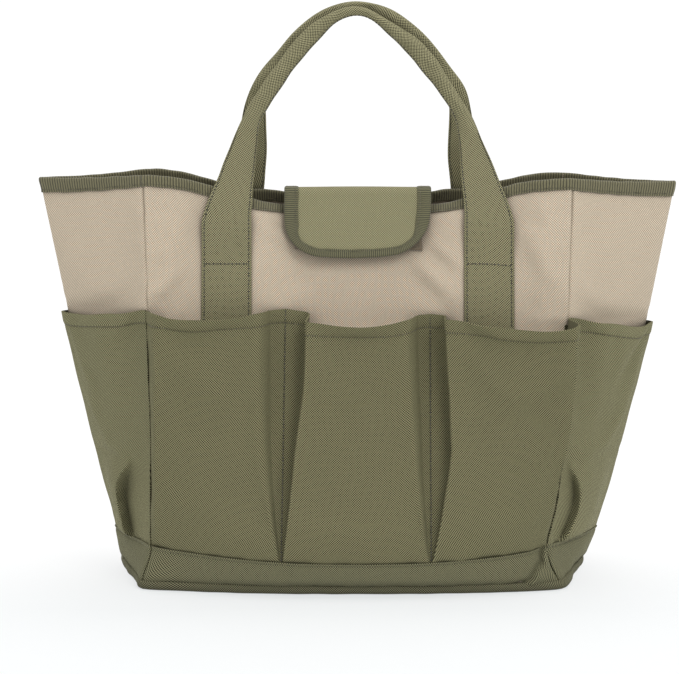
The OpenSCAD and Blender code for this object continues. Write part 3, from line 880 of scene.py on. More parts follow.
def creases(p, folds):
    total = 0
    for x0, z0, x1, z1, width, height in folds:
        d = np.array([x1 - x0, z1 - z0])
        q = p[..., [0, 2]] - (x0, z0)
        along = np.clip(q @ d / (d @ d), 0, 1)
        off = q - along[..., None] * d
        side = (off[..., 0] * d[1] - off[..., 1] * d[0]) / np.linalg.norm(d)
        end = np.sin(math.pi * along) ** 0.7
        total = total + height * end * (near(side, width) - 0.5 * near(side - width * 1.6, width))
    return total


def edged(edge, middle):
    """Stations with the same spacing beside both edges."""
    return np.array([*edge, *middle, *(-q for q in edge[::-1])])


def seam_dip(sheet, reach):
    return -2.4 * near(1 - np.abs(sheet.U), reach)


wall_rows = spaced((0, 0.6, 0.02), (0.6, 1, 0.0085))
wall_cols = edged((-1, -0.9975, -0.995, -0.991, -0.985), np.linspace(-0.975, 0.975, 131))
front = Sheet(draped(front_wall, front_drape), wall_cols, wall_rows)
back = Sheet(draped(back_wall, front_drape), wall_cols, wall_rows)
front.push(creases(front.P, WALL_FOLDS))
for sheet in (front, back):
    sheet.push(seam_dip(sheet, 0.006) + 0.35 * ripple(sheet.P, 60, 3)
               + 0.3 * near(1 - np.abs(sheet.U), 0.05) * ripple(sheet.P, 16, 4))
end_cols = edged((-1, -0.995, -0.99, -0.982, -0.97, *np.linspace(-0.95, -0.12, 33)), np.linspace(-0.1, 0.1, 17))
end = Sheet(draped(end_wall, end_drape), end_cols, wall_rows)
end.push(seam_dip(end, 0.011) + 0.4 * ripple(end.P, 70, 5)
         + 0.25 * near(1 - np.abs(end.U), 0.08) * ripple(end.P, 15, 6))
for label, sheet in four_sides(front, back, end):
    wall = cloth_piece(label + "_wall", sheet, CLOTH_T, [KHAKI_CLOTH, KHAKI_BACKING])
    bag_piece(wall, "khaki_cloth", label + "_panel")


def hem_relief(sheet, height):
    """The folded hem is a double layer, drawn in along its stitch line."""
    down = (1 - sheet.V) * height
    thick = 0.3 * (1 - smooth(HEM - 1.4, HEM + 0.8, down))
    return thick - 0.6 * near(down - HEM, 0.9) - 0.5 * near(sheet.V * height, 3.5)


pocket = Sheet(draped(front_pocket, pocket_drape), fold_cols(), hem_rows(FRONT_POCKET_H))
from_div = np.abs(np.abs(pocket.U) - DIVIDER_X)
up, down = pocket.V * FRONT_POCKET_H, (1 - pocket.V) * FRONT_POCKET_H
pocket.push(hem_relief(pocket, FRONT_POCKET_H) + creases(pocket.P, POCKET_FOLDS)
            + 0.3 * ripple(pocket.P, 55, 7)
            + 0.45 * near(from_div, 7) * ripple(pocket.P * (0.5, 0.5, 1), 13, 8)
            + 0.4 * near(up, 9) * ripple(pocket.P * (1, 0.5, 0.4), 12, 9)
            + 0.25 * near(172 - np.abs(pocket.U), 6) * ripple(pocket.P, 14, 10)
            + 0.8 * near(from_div, 13) * near(down - 7, 12) * ripple(pocket.P * (1, 0.5, 0.2), 6.5, 15)
            + 0.22 * near(down - HEM, 4) * ripple(pocket.P * (1, 0.4, 0.4), 9, 11))
end_pock = Sheet(draped(end_pocket, end_pocket_drape),
                 spaced((-1, -0.5, 0.0125), (-0.5, -0.1, 0.03), (-0.1, 0.1, 0.012), (0.1, 0.5, 0.03), (0.5, 1, 0.0125)),
                 hem_rows(END_POCKET_H))
end_pock.push(hem_relief(end_pock, END_POCKET_H) + 0.3 * ripple(end_pock.P, 55, 12)
              + 0.35 * near(end_pock.V * END_POCKET_H, 9) * ripple(end_pock.P, 12, 13)
              + 0.25 * near(1 - np.abs(end_pock.U), 0.07) * ripple(end_pock.P, 14, 14))
for label, sheet in four_sides(pocket, pocket, end_pock):
    # the end pockets take the cloth painted lighter for the light on the ends
    cloth, node = (LIT_END_CLOTH, "_pocket") if "end" in label else (GREEN_CLOTH, "_pocket_band")
    hem = 0.6 * (1 - smooth(HEM - 0.2, HEM + 0.7, (1 - sheet.V) * POCKET_H))
    pockets = cloth_piece(label + "_pockets", sheet, POCKET_T, [cloth, GREEN_BACKING], hem)
    bag_piece(pockets, "green_cloth", label + node)

# Seam allowances cover the khaki corners behind the pockets' and bands' edges; their dark colour is painted shade for
# the crevice there.
z = np.linspace(3, 226, 70)
cx, cy = corner_x(z), corner_y(z)
ex, ey = unit(np.stack([crease_x(z) - cx, -cy], axis=-1)).T
cols = [(cx - 3.0, wall_y(cx - 3.0, z) + 0.9), (cx - 1.0, wall_y(cx - 1.0, z) + 0.9), (cx + 0.6, cy + 0.7),
        (cx + ex - ey * 0.9, cy + ey + ex * 0.9), (cx + 3 * ex - ey * 0.9, cy + 3 * ey + ex * 0.9)]
for number, (sx, sy) in enumerate(CORNERS):
    strip = np.stack([stack(sx * x, sy * y, z) for x, y in cols], axis=1)
    if sx * sy > 0:
        strip = strip[:, ::-1]
    bag_piece(skin(f"corner_seam_{number + 1}", strip, 0.2, SHADED_SEAM_CLOTH), "green_cloth")

# ---------------------------------------------------------------- base

CRUMPLE = np.array([(164, 36), (160, 23), (150, 19), (142, 9), (132, 5)], float)  # x and z along the kink
BASE_RINGS = ((None, 0), (60, 0), (30, 0), (10, 0), (4.5, 0.05), (2.2, 0.5), (0.7, 1.6), (0.1, 3.2), (0, 5.0),
              (0.2, BASE_SEAM - 2.0), (0.9, BASE_SEAM - 0.9), (2.6, BASE_SEAM - 0.6))  # inset and height


def loop_plan(z, lift):
    """Plan outline of the bag at height z, anticlockwise from the front left corner: points and outward normals."""
    x = np.linspace(-1, 1, 61) * corner_x(z)
    side = np.stack([x, -wall_y(x, np.full_like(x, z))], axis=-1)
    half = np.concatenate([side, end_point(np.linspace(-1, 1, 31)[1:-1], z)[:, :2]])
    pts = soften(np.concatenate([half, -half]), 2)
    d = np.roll(pts, -1, axis=0) - np.roll(pts, 1, axis=0)
    n = unit(np.stack([d[:, 1], -d[:, 0]], axis=-1))
    return pts + n * lift, n


def front_band(x, t):
    """The base band's cloth: x across, t from the base seam to the pocket seam."""
    z = mix(BASE_SEAM - 1.5, band_seam_z(x), t)
    x = x / CORNER_X * corner_x(z)
    return stack(x, -(wall_y(x, z) + 2.4), z)


def end_band(s, t):
    z = mix(BASE_SEAM - 1.5, end_band_seam_z(s), t)
    return end_point(s, z) + end_out(s, z) * mix(2.4, 1.9, smooth(0.7, 1, t))[..., None]


def band_relief(sheet, seed, lip):
    up, down = sheet.V * BAND_H, (1 - sheet.V) * BAND_H
    p, squat = sheet.P, sheet.P * (1, 1, 0.4)
    return (-0.5 * near(down - 2.2, 0.8) - 0.9 * near(up, 2.2) + lip * (1 - smooth(0.2, 3.2, down))
            + 0.4 * ripple(p, 30, seed) * np.sin(math.pi * sheet.V) + 0.3 * near(down, 6) * ripple(squat, 10, seed + 1)
            + 0.35 * near(up, 6) * ripple(squat, 12, seed + 2))


def crumple(p):
    """The corner of the band is pushed in and folds over itself along a kinked line."""
    q, best, side = p[..., [0, 2]], np.full(p.shape[:2], 1e9), np.zeros(p.shape[:2])
    for a, b in zip(CRUMPLE, CRUMPLE[1:]):
        d = b - a
        gap = np.linalg.norm(q - a - np.clip((q - a) @ d / (d @ d), 0, 1)[..., None] * d, axis=-1)
        cross = (q - a)[..., 0] * d[1] - (q - a)[..., 1] * d[0]
        side, best = np.where(gap < best, np.sign(cross), side), np.minimum(gap, best)
    s = -side * best
    return 3.0 * smooth(-0.8, 0.9, s) * near(np.maximum(s, 0), 8) - 1.5 * near(s + 2.2, 2.2)


band_rows = np.array([0, 0.03, 0.08, *np.linspace(0.14, 0.8, 12), 0.85, 0.88, 0.91, 0.94, 0.97, 1.0])
band = Sheet(front_band, spaced((-CORNER_X, -150, 1.5), (-150, 126, 3.4), (126, CORNER_X, 1.1)), band_rows)
band.push(band_relief(band, 20, 0.8) + crumple(band.P) - 1.2 * near(CORNER_X - np.abs(band.U), 2.0))
ends = Sheet(end_band, spaced((-1, -0.88, 0.015), (-0.88, -0.1, 0.035), (-0.1, 0.1, 0.015), (0.1, 0.88, 0.035),
                              (0.88, 1, 0.015)), band_rows)
ends.push(band_relief(ends, 24, 0.3) - 1.2 * near(1 - np.abs(ends.U), 0.02))
for label, sheet in four_sides(band, band, ends):
    bag_piece(cloth_piece(label + "_band", sheet, BAND_T, [BAND_CLOTH, GREEN_BACKING]), "green_cloth",
              label.replace("_end", "") + "_base_band")


def base_rings():
    """The base cloth: flat underneath, rolled up to its seam with the bands, and back down inside."""
    rings = []
    outline, n = loop_plan(6.0, 4.2)
    core, _ = loop_plan(6.0, 0)
    for inset, z in BASE_RINGS:
        pts = outline * 0.02 if inset is None else outline - n * inset
        if inset and inset > 20:
            pts = mix(pts, core * (1 - inset / 95), 0.8)
        if 0 < z < BASE_SEAM:
            pts = pts + n * 0.4 * ripple(stack(pts[:, 0], pts[:, 1], z), 30, 30)[:, None]
        rings.append(stack(pts[:, 0], pts[:, 1], z))
    return np.array(rings)


rings = base_rings()
inner = rings - grid_normals(rings, True) * 1.2
inner[..., 2] = np.maximum(inner[..., 2], 1.2)
uv = grid_uv(travel(rings[7]), travel(rings[:, 20]))
uv[:5] = rings[:5, :, :2] * MM
bag_piece(shell("base", rings, inner, [BASE_CLOTH], True, uv), "green_cloth", "base_panel")
board = frame["nodes"]["base_board"]
board.material_slots[0].link = "OBJECT"
board.material_slots[0].material = BOARD_PLASTIC


def folded_tape(path, inward, width, t=0.8):
    """A tape folded over an edge: path is the edge, inward points along the cloth from the edge."""
    side = unit(np.cross(np.gradient(path, axis=0), inward))
    return np.array([path + side * o * t + inward * i for o, i in (
        (1, width), (1, width * 0.5), (1, 0.6), (0.7, 0.1), (0, -0.25), (-0.7, 0.1), (-1, 0.6), (-1, width * 0.5),
        (-1, width))])


# Bound seam allowances inside: one up each corner and one round the base.
z = np.linspace(14, 322, 40)
bias = unit(np.array([-1, 0.05]) + unit(np.stack([crease_x(z) - corner_x(z), corner_y(z)], axis=-1)))
tapes = []
for sx, sy in CORNERS:
    edge = stack(sx * (corner_x(z) + bias[:, 0] * 12.5), sy * (corner_y(z) - bias[:, 1] * 12.5), z)
    edge[:, :2] += 0.6 * ripple(edge, 60, 40 + sx + 2 * sy)[:, None] * bias * (sx, -sy)
    tape = folded_tape(edge, stack(-sx * bias[:, 0], sy * bias[:, 1], 0 * z), 8.5)
    tapes.append(skin(f"corner_tape_{len(tapes) + 1}", tape, 0.3, TAPE))
for ob in tapes:
    bag_piece(ob, "edge_tape", "corner_seam_tapes")
outline, _ = loop_plan(9.0, -4.0)
edge = stack(outline[:, 0] * 0.975, outline[:, 1] * 0.955, 10.5)
tape = folded_tape(edge, np.tile([0, 0, -1.0], (len(outline), 1)), 7.0)
bag_piece(skin("base_seam_tape_loop", tape, 0.3, TAPE, True), "edge_tape", "base_seam_tape")

# ---------------------------------------------------------------- rim binding

RIM_PROFILE = [  # (across the wall, up from the rim) round the folded tape, inside to outside
    (-1.55, -11.5), (-1.5, -8.0), (-1.45, -5.0), (-1.5, -2.5), (-1.45, -0.6), (-1.1, 0.55), (-0.5, 1.05),
    (0.2, 1.15), (0.9, 0.8), (1.4, 0.0), (1.6, -1.6), (1.6, -3.5), (1.5, -5.5), (1.4, -7.4), (1.32, -8.6),
    (1.05, -9.3), (1.32, -10.0), (1.5, -11.5)]


def rim_path():
    """Points along the whole rim, with the outward direction and the way up the cloth at each."""
    us = np.linspace(-1, 1, 181)[:-1]
    ss = np.concatenate([np.linspace(-1, -0.06, 36), np.linspace(-0.05, 0.05, 9), np.linspace(0.06, 1, 36)[:-1]])
    sides = ((front, us), (end, ss), (back.turned(), us), (end.turned(), ss))
    top, low = (np.concatenate([sheet.at(u, v)[0] for sheet, u in sides]) for v in (1.0, 1 - 9.0 / WALL_H))
    height = np.concatenate([np.full(len(us), 0.75), mix(1.0, 0.78, np.abs(ss))] * 2)
    height, down, top = soften(height, 3), unit(soften(low - top, 3)), soften(top, 3)
    along = np.roll(top, -1, axis=0) - np.roll(top, 1, axis=0)
    return top, unit(np.cross(along, -down)), -down * height[:, None]


rim_top, rim_out, rim_up = rim_path()
rows = []
for across, up in RIM_PROFILE:
    across = across + 0.16 * ripple(rim_top, 26, 50) * (1 if across > 0 else -1)
    across = across + 0.2 * ripple(rim_top + up, 9, 51) * (abs(up + 6) < 4)
    rows.append(rim_top + rim_out * across[:, None] + rim_up * (up + 0.25 * ripple(rim_top, 18, 52))[:, None])
binding = skin("rim_binding", np.array(rows), 0.25, TAPE, True, grid_uv(travel(rim_top), travel(RIM_PROFILE)))
bag_piece(binding, "edge_tape", "rim_tape_front", "rim_tape_back", "rim_tape_left", "rim_tape_right")
frames = []
for side, off in ((1, 1.5), (-1, 1.8)):
    points = rim_top + rim_out * side * off + rim_up * -9.3
    frames += stitch_row(*(np.concatenate([loop, loop[:1]]) for loop in (points, rim_out * side)))
bag_piece(make_stitches("rim_stitching", frames, STITCH, 0.3), "edge_tape")

# ---------------------------------------------------------------- handles

GRIP_TOP, GRIP_W, GRIP_PINCH, GRIP_T, GRIP_Y = 472.0, 14.0, 7.5, 9.0, 6.4
FRONT_KINK, BACK_KINK, KINK_Y, BACK_RISE, ARCH_R = (88.2, 384.0), (83.5, 406.0), 14.0, 4.0, 69.0
LEG_RIM_Z, SEWN_Z0, STRAP_LIFT, LEG_LIFT = 306.0, 48.0, 1.6, 4.4
HALF_RING, SEAM_AT = 20, 3


def arch_drop(x):
    return math.sqrt(ARCH_R**2 + x * x) - ARCH_R


def leg_y(x, z):
    w = min(z, LEG_RIM_Z)
    return float(wall_y(np.float64(x), np.float64(w))) + mix(STRAP_LIFT, LEG_LIFT, smooth(HINGE_Z, 302, w))


def half_handle(kink, top):
    """Rows of x, y, z, width, thickness, plan slope and roll, from the strap's foot to the grip's middle."""
    out = []
    for z in [*np.linspace(SEWN_Z0, 250, 41), *np.linspace(254, 306, 18), *np.linspace(309, kink[1], 28)]:
        inner = mix(STRAP_X - STRAP_W / 2, kink[0] - GRIP_W / 2, ramp(312, kink[1], z))
        outer = mix(STRAP_X + STRAP_W / 2, kink[0] + GRIP_W / 2, ramp(301.5, kink[1], z))
        slope = (leg_y(outer, z) - leg_y(inner, z)) / (outer - inner)
        t = ramp(LEG_RIM_Z, kink[1], z)
        out.append(((inner + outer) / 2, mix(leg_y(STRAP_X, z), KINK_Y, t), z, outer - inner,
                    mix(STRAP_T, GRIP_T, smooth(338, kink[1], z)), mix(slope, 0, t),
                    smooth(kink[1] - 34, kink[1] + 4, z)))
    for w in np.linspace(1, 0, 40)[1:]:
        x = w * kink[0]
        out.append((x, mix(GRIP_Y, KINK_Y, smooth(40, kink[0] + 2, x)),
                    top - (top - kink[1]) * arch_drop(x) / arch_drop(kink[0]),
                    mix(GRIP_PINCH, GRIP_W, smooth(0, 48, x)), GRIP_T, 0, 1))
    return np.array(out, float)


def section(roll):
    """Outline of the strap, flat to rolled, as shares of half the width and half the thickness."""
    a = math.pi * np.arange(HALF_RING + 1) / HALF_RING
    x = -np.cos(a)
    edge = np.clip((np.abs(x) - 0.93) / 0.07, 0, 1)
    flat = np.sqrt(np.maximum(1 - edge**2, 0.06)) - 0.45 * near(np.abs(x) - abs(x[SEAM_AT]), 0.035)
    tube = np.maximum(np.sin(a), 0.0) ** 0.75
    ridge = 1.08 * np.maximum(np.minimum((x + 1) / 1.2, (1 - x) / 0.8), 0) ** 0.75
    front_side = np.stack([x, mix(flat, mix(tube - 0.2 * near(x + 0.72, 0.1), ridge, 0.55), roll)], axis=-1)
    back_side = -np.stack([x, mix(flat, tube, roll)], axis=-1)
    if roll > 0.999:
        front_side[[0, -1], 1] = back_side[[0, -1], 1] = 0
    return np.concatenate([front_side, back_side])


class Handle:
    """One strap with its grip, as rings round the path from left foot to right foot, on the front."""

    def __init__(self, kink, top, seed):
        half = half_handle(kink, top)
        path = np.concatenate([half * (-1, 1, 1, 1, 1, 1, 1), half[-2::-1]])
        for _ in range(6):
            soft = path.copy()
            soft[1:-1] = (path[:-2] + 2 * path[1:-1] + path[2:]) / 4
            path = mix(path, soft, smooth(LEG_RIM_Z - 8, LEG_RIM_Z + 20, path[:, 2])[:, None])
        step = path[2:, :3] - path[:-2, :3]
        step = np.concatenate([step[:1], step, step[-1:]]) * (1, -1, 1)
        x, y, z, w, t, slope, roll = path.T
        upright = np.stack([0 * x, np.where(x < 0, 1.0, -1.0)], axis=-1)
        d = unit(mix(unit(step)[:, [0, 2]], upright, (1 - smooth(296, 312, z))[:, None]))
        across = np.stack([-d[:, 1], -slope, d[:, 0]], axis=-1)
        normal = unit(np.cross(step, across))
        normal *= np.where(normal[:, 1:2] > 0, -1, 1)
        centre = stack(x, -y, z)
        self.s = travel(centre)
        free = smooth(LEG_RIM_Z, LEG_RIM_Z + 40, z)
        width = w * (1 + (0.035 * free + 0.05 * roll) * ripple(centre, 34, seed))
        if kink is BACK_KINK:
            centre[:, 0] -= np.sign(x) * 6.5 * smooth(278, 322, z) * (1 - smooth(345, kink[1], z))
        else:
            centre[:, 2] -= 4.2 * roll * near(x - 27, 17)
            width = width * (1 - 0.22 * roll * near(x - 22, 15))
        thick = t * (1 + 0.10 * roll * ripple(centre, 26, seed + 1))
        q = np.array([section(share) for share in roll]) / 2
        rings = (centre[:, None] + q[..., :1] * (across * width[:, None])[:, None]
                 + q[..., 1:] * (normal * thick[:, None])[:, None])
        crease = 0.55 * roll[:, None] * (ripple(rings, 17, seed + 2) + 0.45 * ripple(rings * (1, 2, 1), 8, seed + 3))
        soft = (0.28 * free)[:, None] * ripple(rings, 24, seed + 4)
        fold = 0.9 * near(z - kink[1] + 3, 5)[:, None] * np.cos(np.linspace(0, 4 * math.pi, rings.shape[1]))
        self.rings = rings + normal[:, None] * (soft + crease - fold)[..., None]
        self.normal, self.centre = normal, centre

    def turn(self):
        self.rings, self.normal, self.centre = self.rings * TURN, self.normal * TURN, self.centre * TURN

    def mesh(self, name):
        n, m = self.rings.shape[:2]
        faces = quads(n, m, True).tolist() + [list(range(m))[::-1], list(range((n - 1) * m, n * m))]
        girth = np.linalg.norm(np.diff(self.rings, axis=1), axis=-1)
        u = np.concatenate([np.zeros((n, 1)), np.cumsum(girth, axis=1)], axis=1)
        uv = stack(u, self.s[:, None], 0)[..., :2].reshape(-1, 2) * MM
        return make_mesh(name, self.rings.reshape(-1, 3), faces, uv, [STRAP_CLOTH], None, 60)

    def row(self, index, low, high, side=1):
        """Stitches along the strap between two heights."""
        p = self.rings[:, index] + self.normal * side * 0.1
        ok = (self.centre[:, 2] > low) & (self.centre[:, 2] < high)
        runs = np.split(np.arange(len(p)), np.flatnonzero(np.diff(ok)) + 1)
        return [frame for run in runs if ok[run[0]] and len(run) > 1
                for frame in stitch_row(p[run], self.normal[run] * side)]

    def stitches(self, kink):
        last = self.rings.shape[1] - 1
        frames = self.row(HALF_RING - SEAM_AT, 0, kink[1] - 12) + self.row(SEAM_AT, 0, kink[1] + 1000)
        for index in (last - (HALF_RING - SEAM_AT), last - SEAM_AT):
            frames += self.row(index, HINGE_Z, kink[1] - 12, -1)
        for x0 in (-STRAP_X, STRAP_X):
            i = int(np.argmin(np.hypot(self.centre[:, 0] - x0, self.centre[:, 2] - 265.2)))
            p = self.rings[i, SEAM_AT:HALF_RING - SEAM_AT + 1]
            frames += stitch_row(p + self.normal[i] * 0.1, np.tile(self.normal[i], (len(p), 1)))
        return frames


for side, kink, top, seed in (("front", FRONT_KINK, GRIP_TOP, 60), ("back", BACK_KINK, GRIP_TOP + BACK_RISE, 70)):
    handle = Handle(kink, top, seed)
    if side == "back":
        handle.turn()
    strap = handle.mesh(side + "_strap_and_grip")
    sewing = make_stitches(side + "_strap_stitching", handle.stitches(kink), STITCH_DARK, 0.5)
    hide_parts(side + "_strap_left", side + "_strap_right", side + "_handle")
    for ob in (strap, sewing):
        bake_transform(ob)

# ---------------------------------------------------------------- flap

FLAP_HALF, TAB_R, FLAP_T, FLAP_TAPE_W = 60.0, 30.0, 2.0, 10.5
TAB_LEAN, TAB_LEN, BACK_R = math.radians(15), 57.0, 4.0
SPINE_OVER = [(20.7, 314), (20.4, 317.6), (18.8, 320.4), (15.5, 321.8), (10, 322.7), (0, 324.3), (-10, 325.8),
              (-15.5, 326.7), (-18.8, 327.0), (-21.0, 325.9), (-22.3, 323.4)]  # y and z across the mouth
FLAP_TAPE_PROFILE = [  # (lift from the flap's middle, inset from its edge), inner side to outer side
    (-1.35, FLAP_TAPE_W), (-1.6, FLAP_TAPE_W - 0.4), (-1.6, 7.5), (-1.6, 5), (-1.6, 2.5), (-1.55, 0.8), (-1.1, -0.25),
    (-0.4, -0.6), (0.4, -0.6), (1.1, -0.25), (1.55, 0.8), (1.65, 2.5), (1.65, 5), (1.6, 7.2),
    (1.4, FLAP_TAPE_W - 2.2), (1.65, FLAP_TAPE_W - 1.2), (1.55, FLAP_TAPE_W - 0.4), (1.35, FLAP_TAPE_W)]


def flap_spine():
    """Distances and points (y, z) of the flap: up the back wall from its sewn edge, over the mouth, down the front."""
    pts = [(float(wall_y(np.float64(0), np.float64(z))) + mix(1.9, 3.0, ramp(262, 300, z)), z)
           for z in np.linspace(262, 309, 12)] + SPINE_OVER
    y0, z0 = SPINE_OVER[-1]
    for q in np.linspace(4, TAB_LEN - 4, 12):
        pts.append((y0 - q * math.sin(TAB_LEAN) * mix(0.75, 1.0, q / TAB_LEN), z0 - q * math.cos(TAB_LEAN)))
    p, dense = np.array(pts), travel(pts)
    s = np.linspace(0, dense[-1], 700)
    q = np.stack([np.interp(s, dense, p[:, k]) for k in (0, 1)], axis=-1)
    kernel = np.hanning(31)
    kernel /= kernel.sum()
    padded = np.concatenate([2 * q[0] - q[15:0:-1], q, 2 * q[-1] - q[-2:-17:-1]])
    q = np.stack([np.convolve(padded[:, k], kernel, "valid") for k in (0, 1)], axis=-1)
    s = travel(q)
    head, tail = (q[0] - q[4]) / (s[4] - s[0]), (q[-1] - q[-5]) / (s[-1] - s[-5])
    return [-5, *s, s[-1] + 5], np.array([q[0] + head * 5, *q, q[-1] + tail * 5]), s[-1]


SPINE_S, SPINE, FLAP_LEN = flap_spine()
MID_S, FOLD_S = (float(SPINE_S[np.argmin(np.hypot(*(SPINE - at).T))]) for at in ((0.5, 324.2), (-21.0, 325.9)))


def spine(s):
    return (np.interp(s, SPINE_S, SPINE[:, k]) for k in (0, 1))


def flap_point(x, s, lift=0.0):
    """A point of the flap x across and s along it, lift outside its middle layer, and the normal there."""
    (y, z), (y0, z0), (y1, z1) = spine(s), spine(s - 0.5), spine(s + 0.5)
    back = (s < MID_S) * (1 - smooth(296, 320, z))
    y = y + back * (wall_y(x, z) - wall_y(0 * x, z))
    tab = smooth(FOLD_S, FOLD_S + 25, s)
    loose = tab * (0.9 * np.cos(x / 26.0 + 0.6) + 0.5 * np.cos(x / 15.0 + s / 18.0))
    loose = loose + 0.3 * (s > MID_S) * np.cos(x / 20.0)
    sag = -0.5 * near(s - MID_S, 12) * np.cos(x / 40)
    curl = tab * 1.2 * ((np.abs(x) / FLAP_HALF) ** 3) * smooth(FLAP_LEN - 30, FLAP_LEN, s)
    ny, nz = (z1 - z0) / np.hypot(y1 - y0, z1 - z0), -(y1 - y0) / np.hypot(y1 - y0, z1 - z0)
    amount = lift + loose * 0.8 + sag + curl
    z = z + smooth(FLAP_LEN - 34, FLAP_LEN, s) * (3.2 * smooth(12, 58, x) - 1.6 * near(x + 8, 26))
    x = x - 3.0 * smooth(FLAP_LEN - 46, FLAP_LEN - 12, s) * smooth(18, 58, x)
    return stack(x, y + ny * amount, z + nz * amount), stack(0 * x, ny, nz)


def flap_rows():
    """Stations along the flap, and the number of the one where its two pieces meet."""
    a = np.linspace(0, math.pi / 2, 15)
    s = np.concatenate([np.linspace(0, FOLD_S - 8, 46), np.linspace(FOLD_S - 7, FOLD_S + 6, 13),
                        np.linspace(FOLD_S + 8, FLAP_LEN - TAB_R - 2, 12), FLAP_LEN - TAB_R + TAB_R * np.sin(a)])
    i = int(np.argmin(np.abs(s - MID_S)))
    s[i] = MID_S
    return s, i


def half_width(s):
    past = np.clip(s - (FLAP_LEN - TAB_R), 0, TAB_R)
    return FLAP_HALF - TAB_R + np.sqrt(np.maximum(TAB_R**2 - past**2, 0))


def flap_cloth(name, rows):
    """The flap's grid runs right to left so its outer side is the normals' side."""
    u, s = np.meshgrid(np.linspace(1, -1, 53), rows)
    x = u * (half_width(s) - 0.6)
    outer, inner = (flap_point(x, s, lift)[0] for lift in (FLAP_T / 2, -FLAP_T / 2))
    return shell(name, outer, inner, [FLAP_CLOTH], False, np.stack([x, s], axis=-1) * MM)


def flap_border(end):
    """The cut edge in (x, s) from the middle round one end of the flap, with outward directions."""
    r, turn, base = (BACK_R, -1, 0.0) if end == "back" else (TAB_R, 1, FLAP_LEN)
    half = [(-FLAP_HALF, q) for q in np.linspace(MID_S, base - turn * r, 40)]
    half += [(-FLAP_HALF + r - r * math.cos(t), base - turn * r + turn * r * math.sin(t))
             for t in np.linspace(0, math.pi / 2, 24)[1:]]
    half += [(x, base) for x in np.linspace(-FLAP_HALF + r, FLAP_HALF - r, 40)[1:20]]
    p = np.array(half + [(-x, q) for x, q in half[::-1]])
    d = np.gradient(p, axis=0)
    out = unit(np.stack([d[:, 1], -d[:, 0]], axis=-1) * -turn)
    out[[0, -1]] = [[-1, 0], [1, 0]]
    return p, out


def tape_width(p):
    """Share of the tape's full width that shows: it curls under along the tab's lower edge."""
    return 1 - 0.42 * smooth(FLAP_LEN - 26, FLAP_LEN - 8, p[:, 1])


def flap_tape(name, end):
    p, out = flap_border(end)
    along = travel(p)
    wob = 0.22 * np.cos(along / 4.1) + 0.16 * np.cos(along / 2.3 + 1)
    rows = []
    for lift, inset in FLAP_TAPE_PROFILE:
        q = p - out * (inset * tape_width(p) + wob * 0.4 * (inset > 6))[:, None]
        extra = 0.12 * np.cos(along / 3.1 + inset) * (1 if lift > 0 else -1)
        rows.append(flap_point(q[:, 0], q[:, 1], lift + extra * (abs(lift) > 1.2))[0])
    g, uv = np.array(rows), grid_uv(along, travel(FLAP_TAPE_PROFILE))
    if end == "front":
        g, uv = g[::-1], uv[::-1]
    return skin(name, g, 0.25, FLAP_TAPE, False, uv)


def flap_sewing(end):
    p, out = flap_border(end)
    x, s = (p - out * ((FLAP_TAPE_W - 2.2) * tape_width(p))[:, None]).T
    frames = []
    for side in (1, -1):
        c, n = flap_point(x, s, side * 1.75)
        frames += stitch_row(c, n * side)
    return frames


flap_s, mid_row = flap_rows()
for end_name, rows, bodies, blend, nodes in (
        ("back", flap_s[:mid_row + 1], ("bag", "flap_bridge"),
         dict(start=(0, 0.0225, 0.311), end=(0, 0.010, 0.3225)), ("flap_anchor", "flap_bridge", "flap_bridge_tape")),
        ("front", flap_s[mid_row:], ("flap_bridge", "flap_tab"),
         dict(start=(0, -0.012, 0.3262), end=(0, -0.0225, 0.3215)), ("flap_tab", "flap_tab_tape"))):
    cloth = flap_cloth("flap_" + end_name, rows)
    tape = flap_tape("flap_tape_" + end_name, end_name)
    sewing = make_stitches("flap_stitching_" + end_name, flap_sewing(end_name), STITCH, 0.3)
    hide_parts(*nodes)
    for ob, slot_name in ((cloth, "webbing"), (tape, "edge_tape"), (sewing, "edge_tape")):
        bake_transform(ob)

# ---------------------------------------------------------------- closure patches and remaining stitching


def loop_surface(u, v):
    """The soft patch sewn to the front wall under the flap."""
    x, z = mix(-52.0, 53.5, u), mix(278.0, 302.0, v) + 0.8 * np.cos(u * 9)
    across = x / corner_x(z)
    return front.at(across, (z - WALL_FOOT) / (rim_z(across) - WALL_FOOT), 1.4)[0]


def hook_surface(u, v):
    """The stiff patch inside the flap."""
    return flap_point(mix(41.0, -41.0, u), FLAP_LEN - mix(16.0, 39.0, v), -2.1)[0]


loops = Sheet(loop_surface, np.linspace(0, 1, 41), np.linspace(0, 1, 13))
bag_piece(cloth_piece("front_closure_patch", loops, 1.2, [LOOP_FABRIC]), "hook_and_loop", "front_loop_patch")
frames = []
for u, v in (((0.03, 0.97), (0.1, 0.1)), ((0.03, 0.97), (0.9, 0.9)),
             ((0.03, 0.03), (0.1, 0.9)), ((0.97, 0.97), (0.1, 0.9))):
    frames += line(loops, u, v, 0.75)
bag_piece(make_stitches("front_patch_stitching", frames, STITCH, 0.3), "hook_and_loop")
patch = Sheet(hook_surface, np.linspace(0, 1, 31), np.linspace(0, 1, 11))
hooks = cloth_piece("flap_closure_patch", patch, 1.1, [HOOK_FABRIC])
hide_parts("flap_hook_patch")
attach(hooks, "flap_tab")

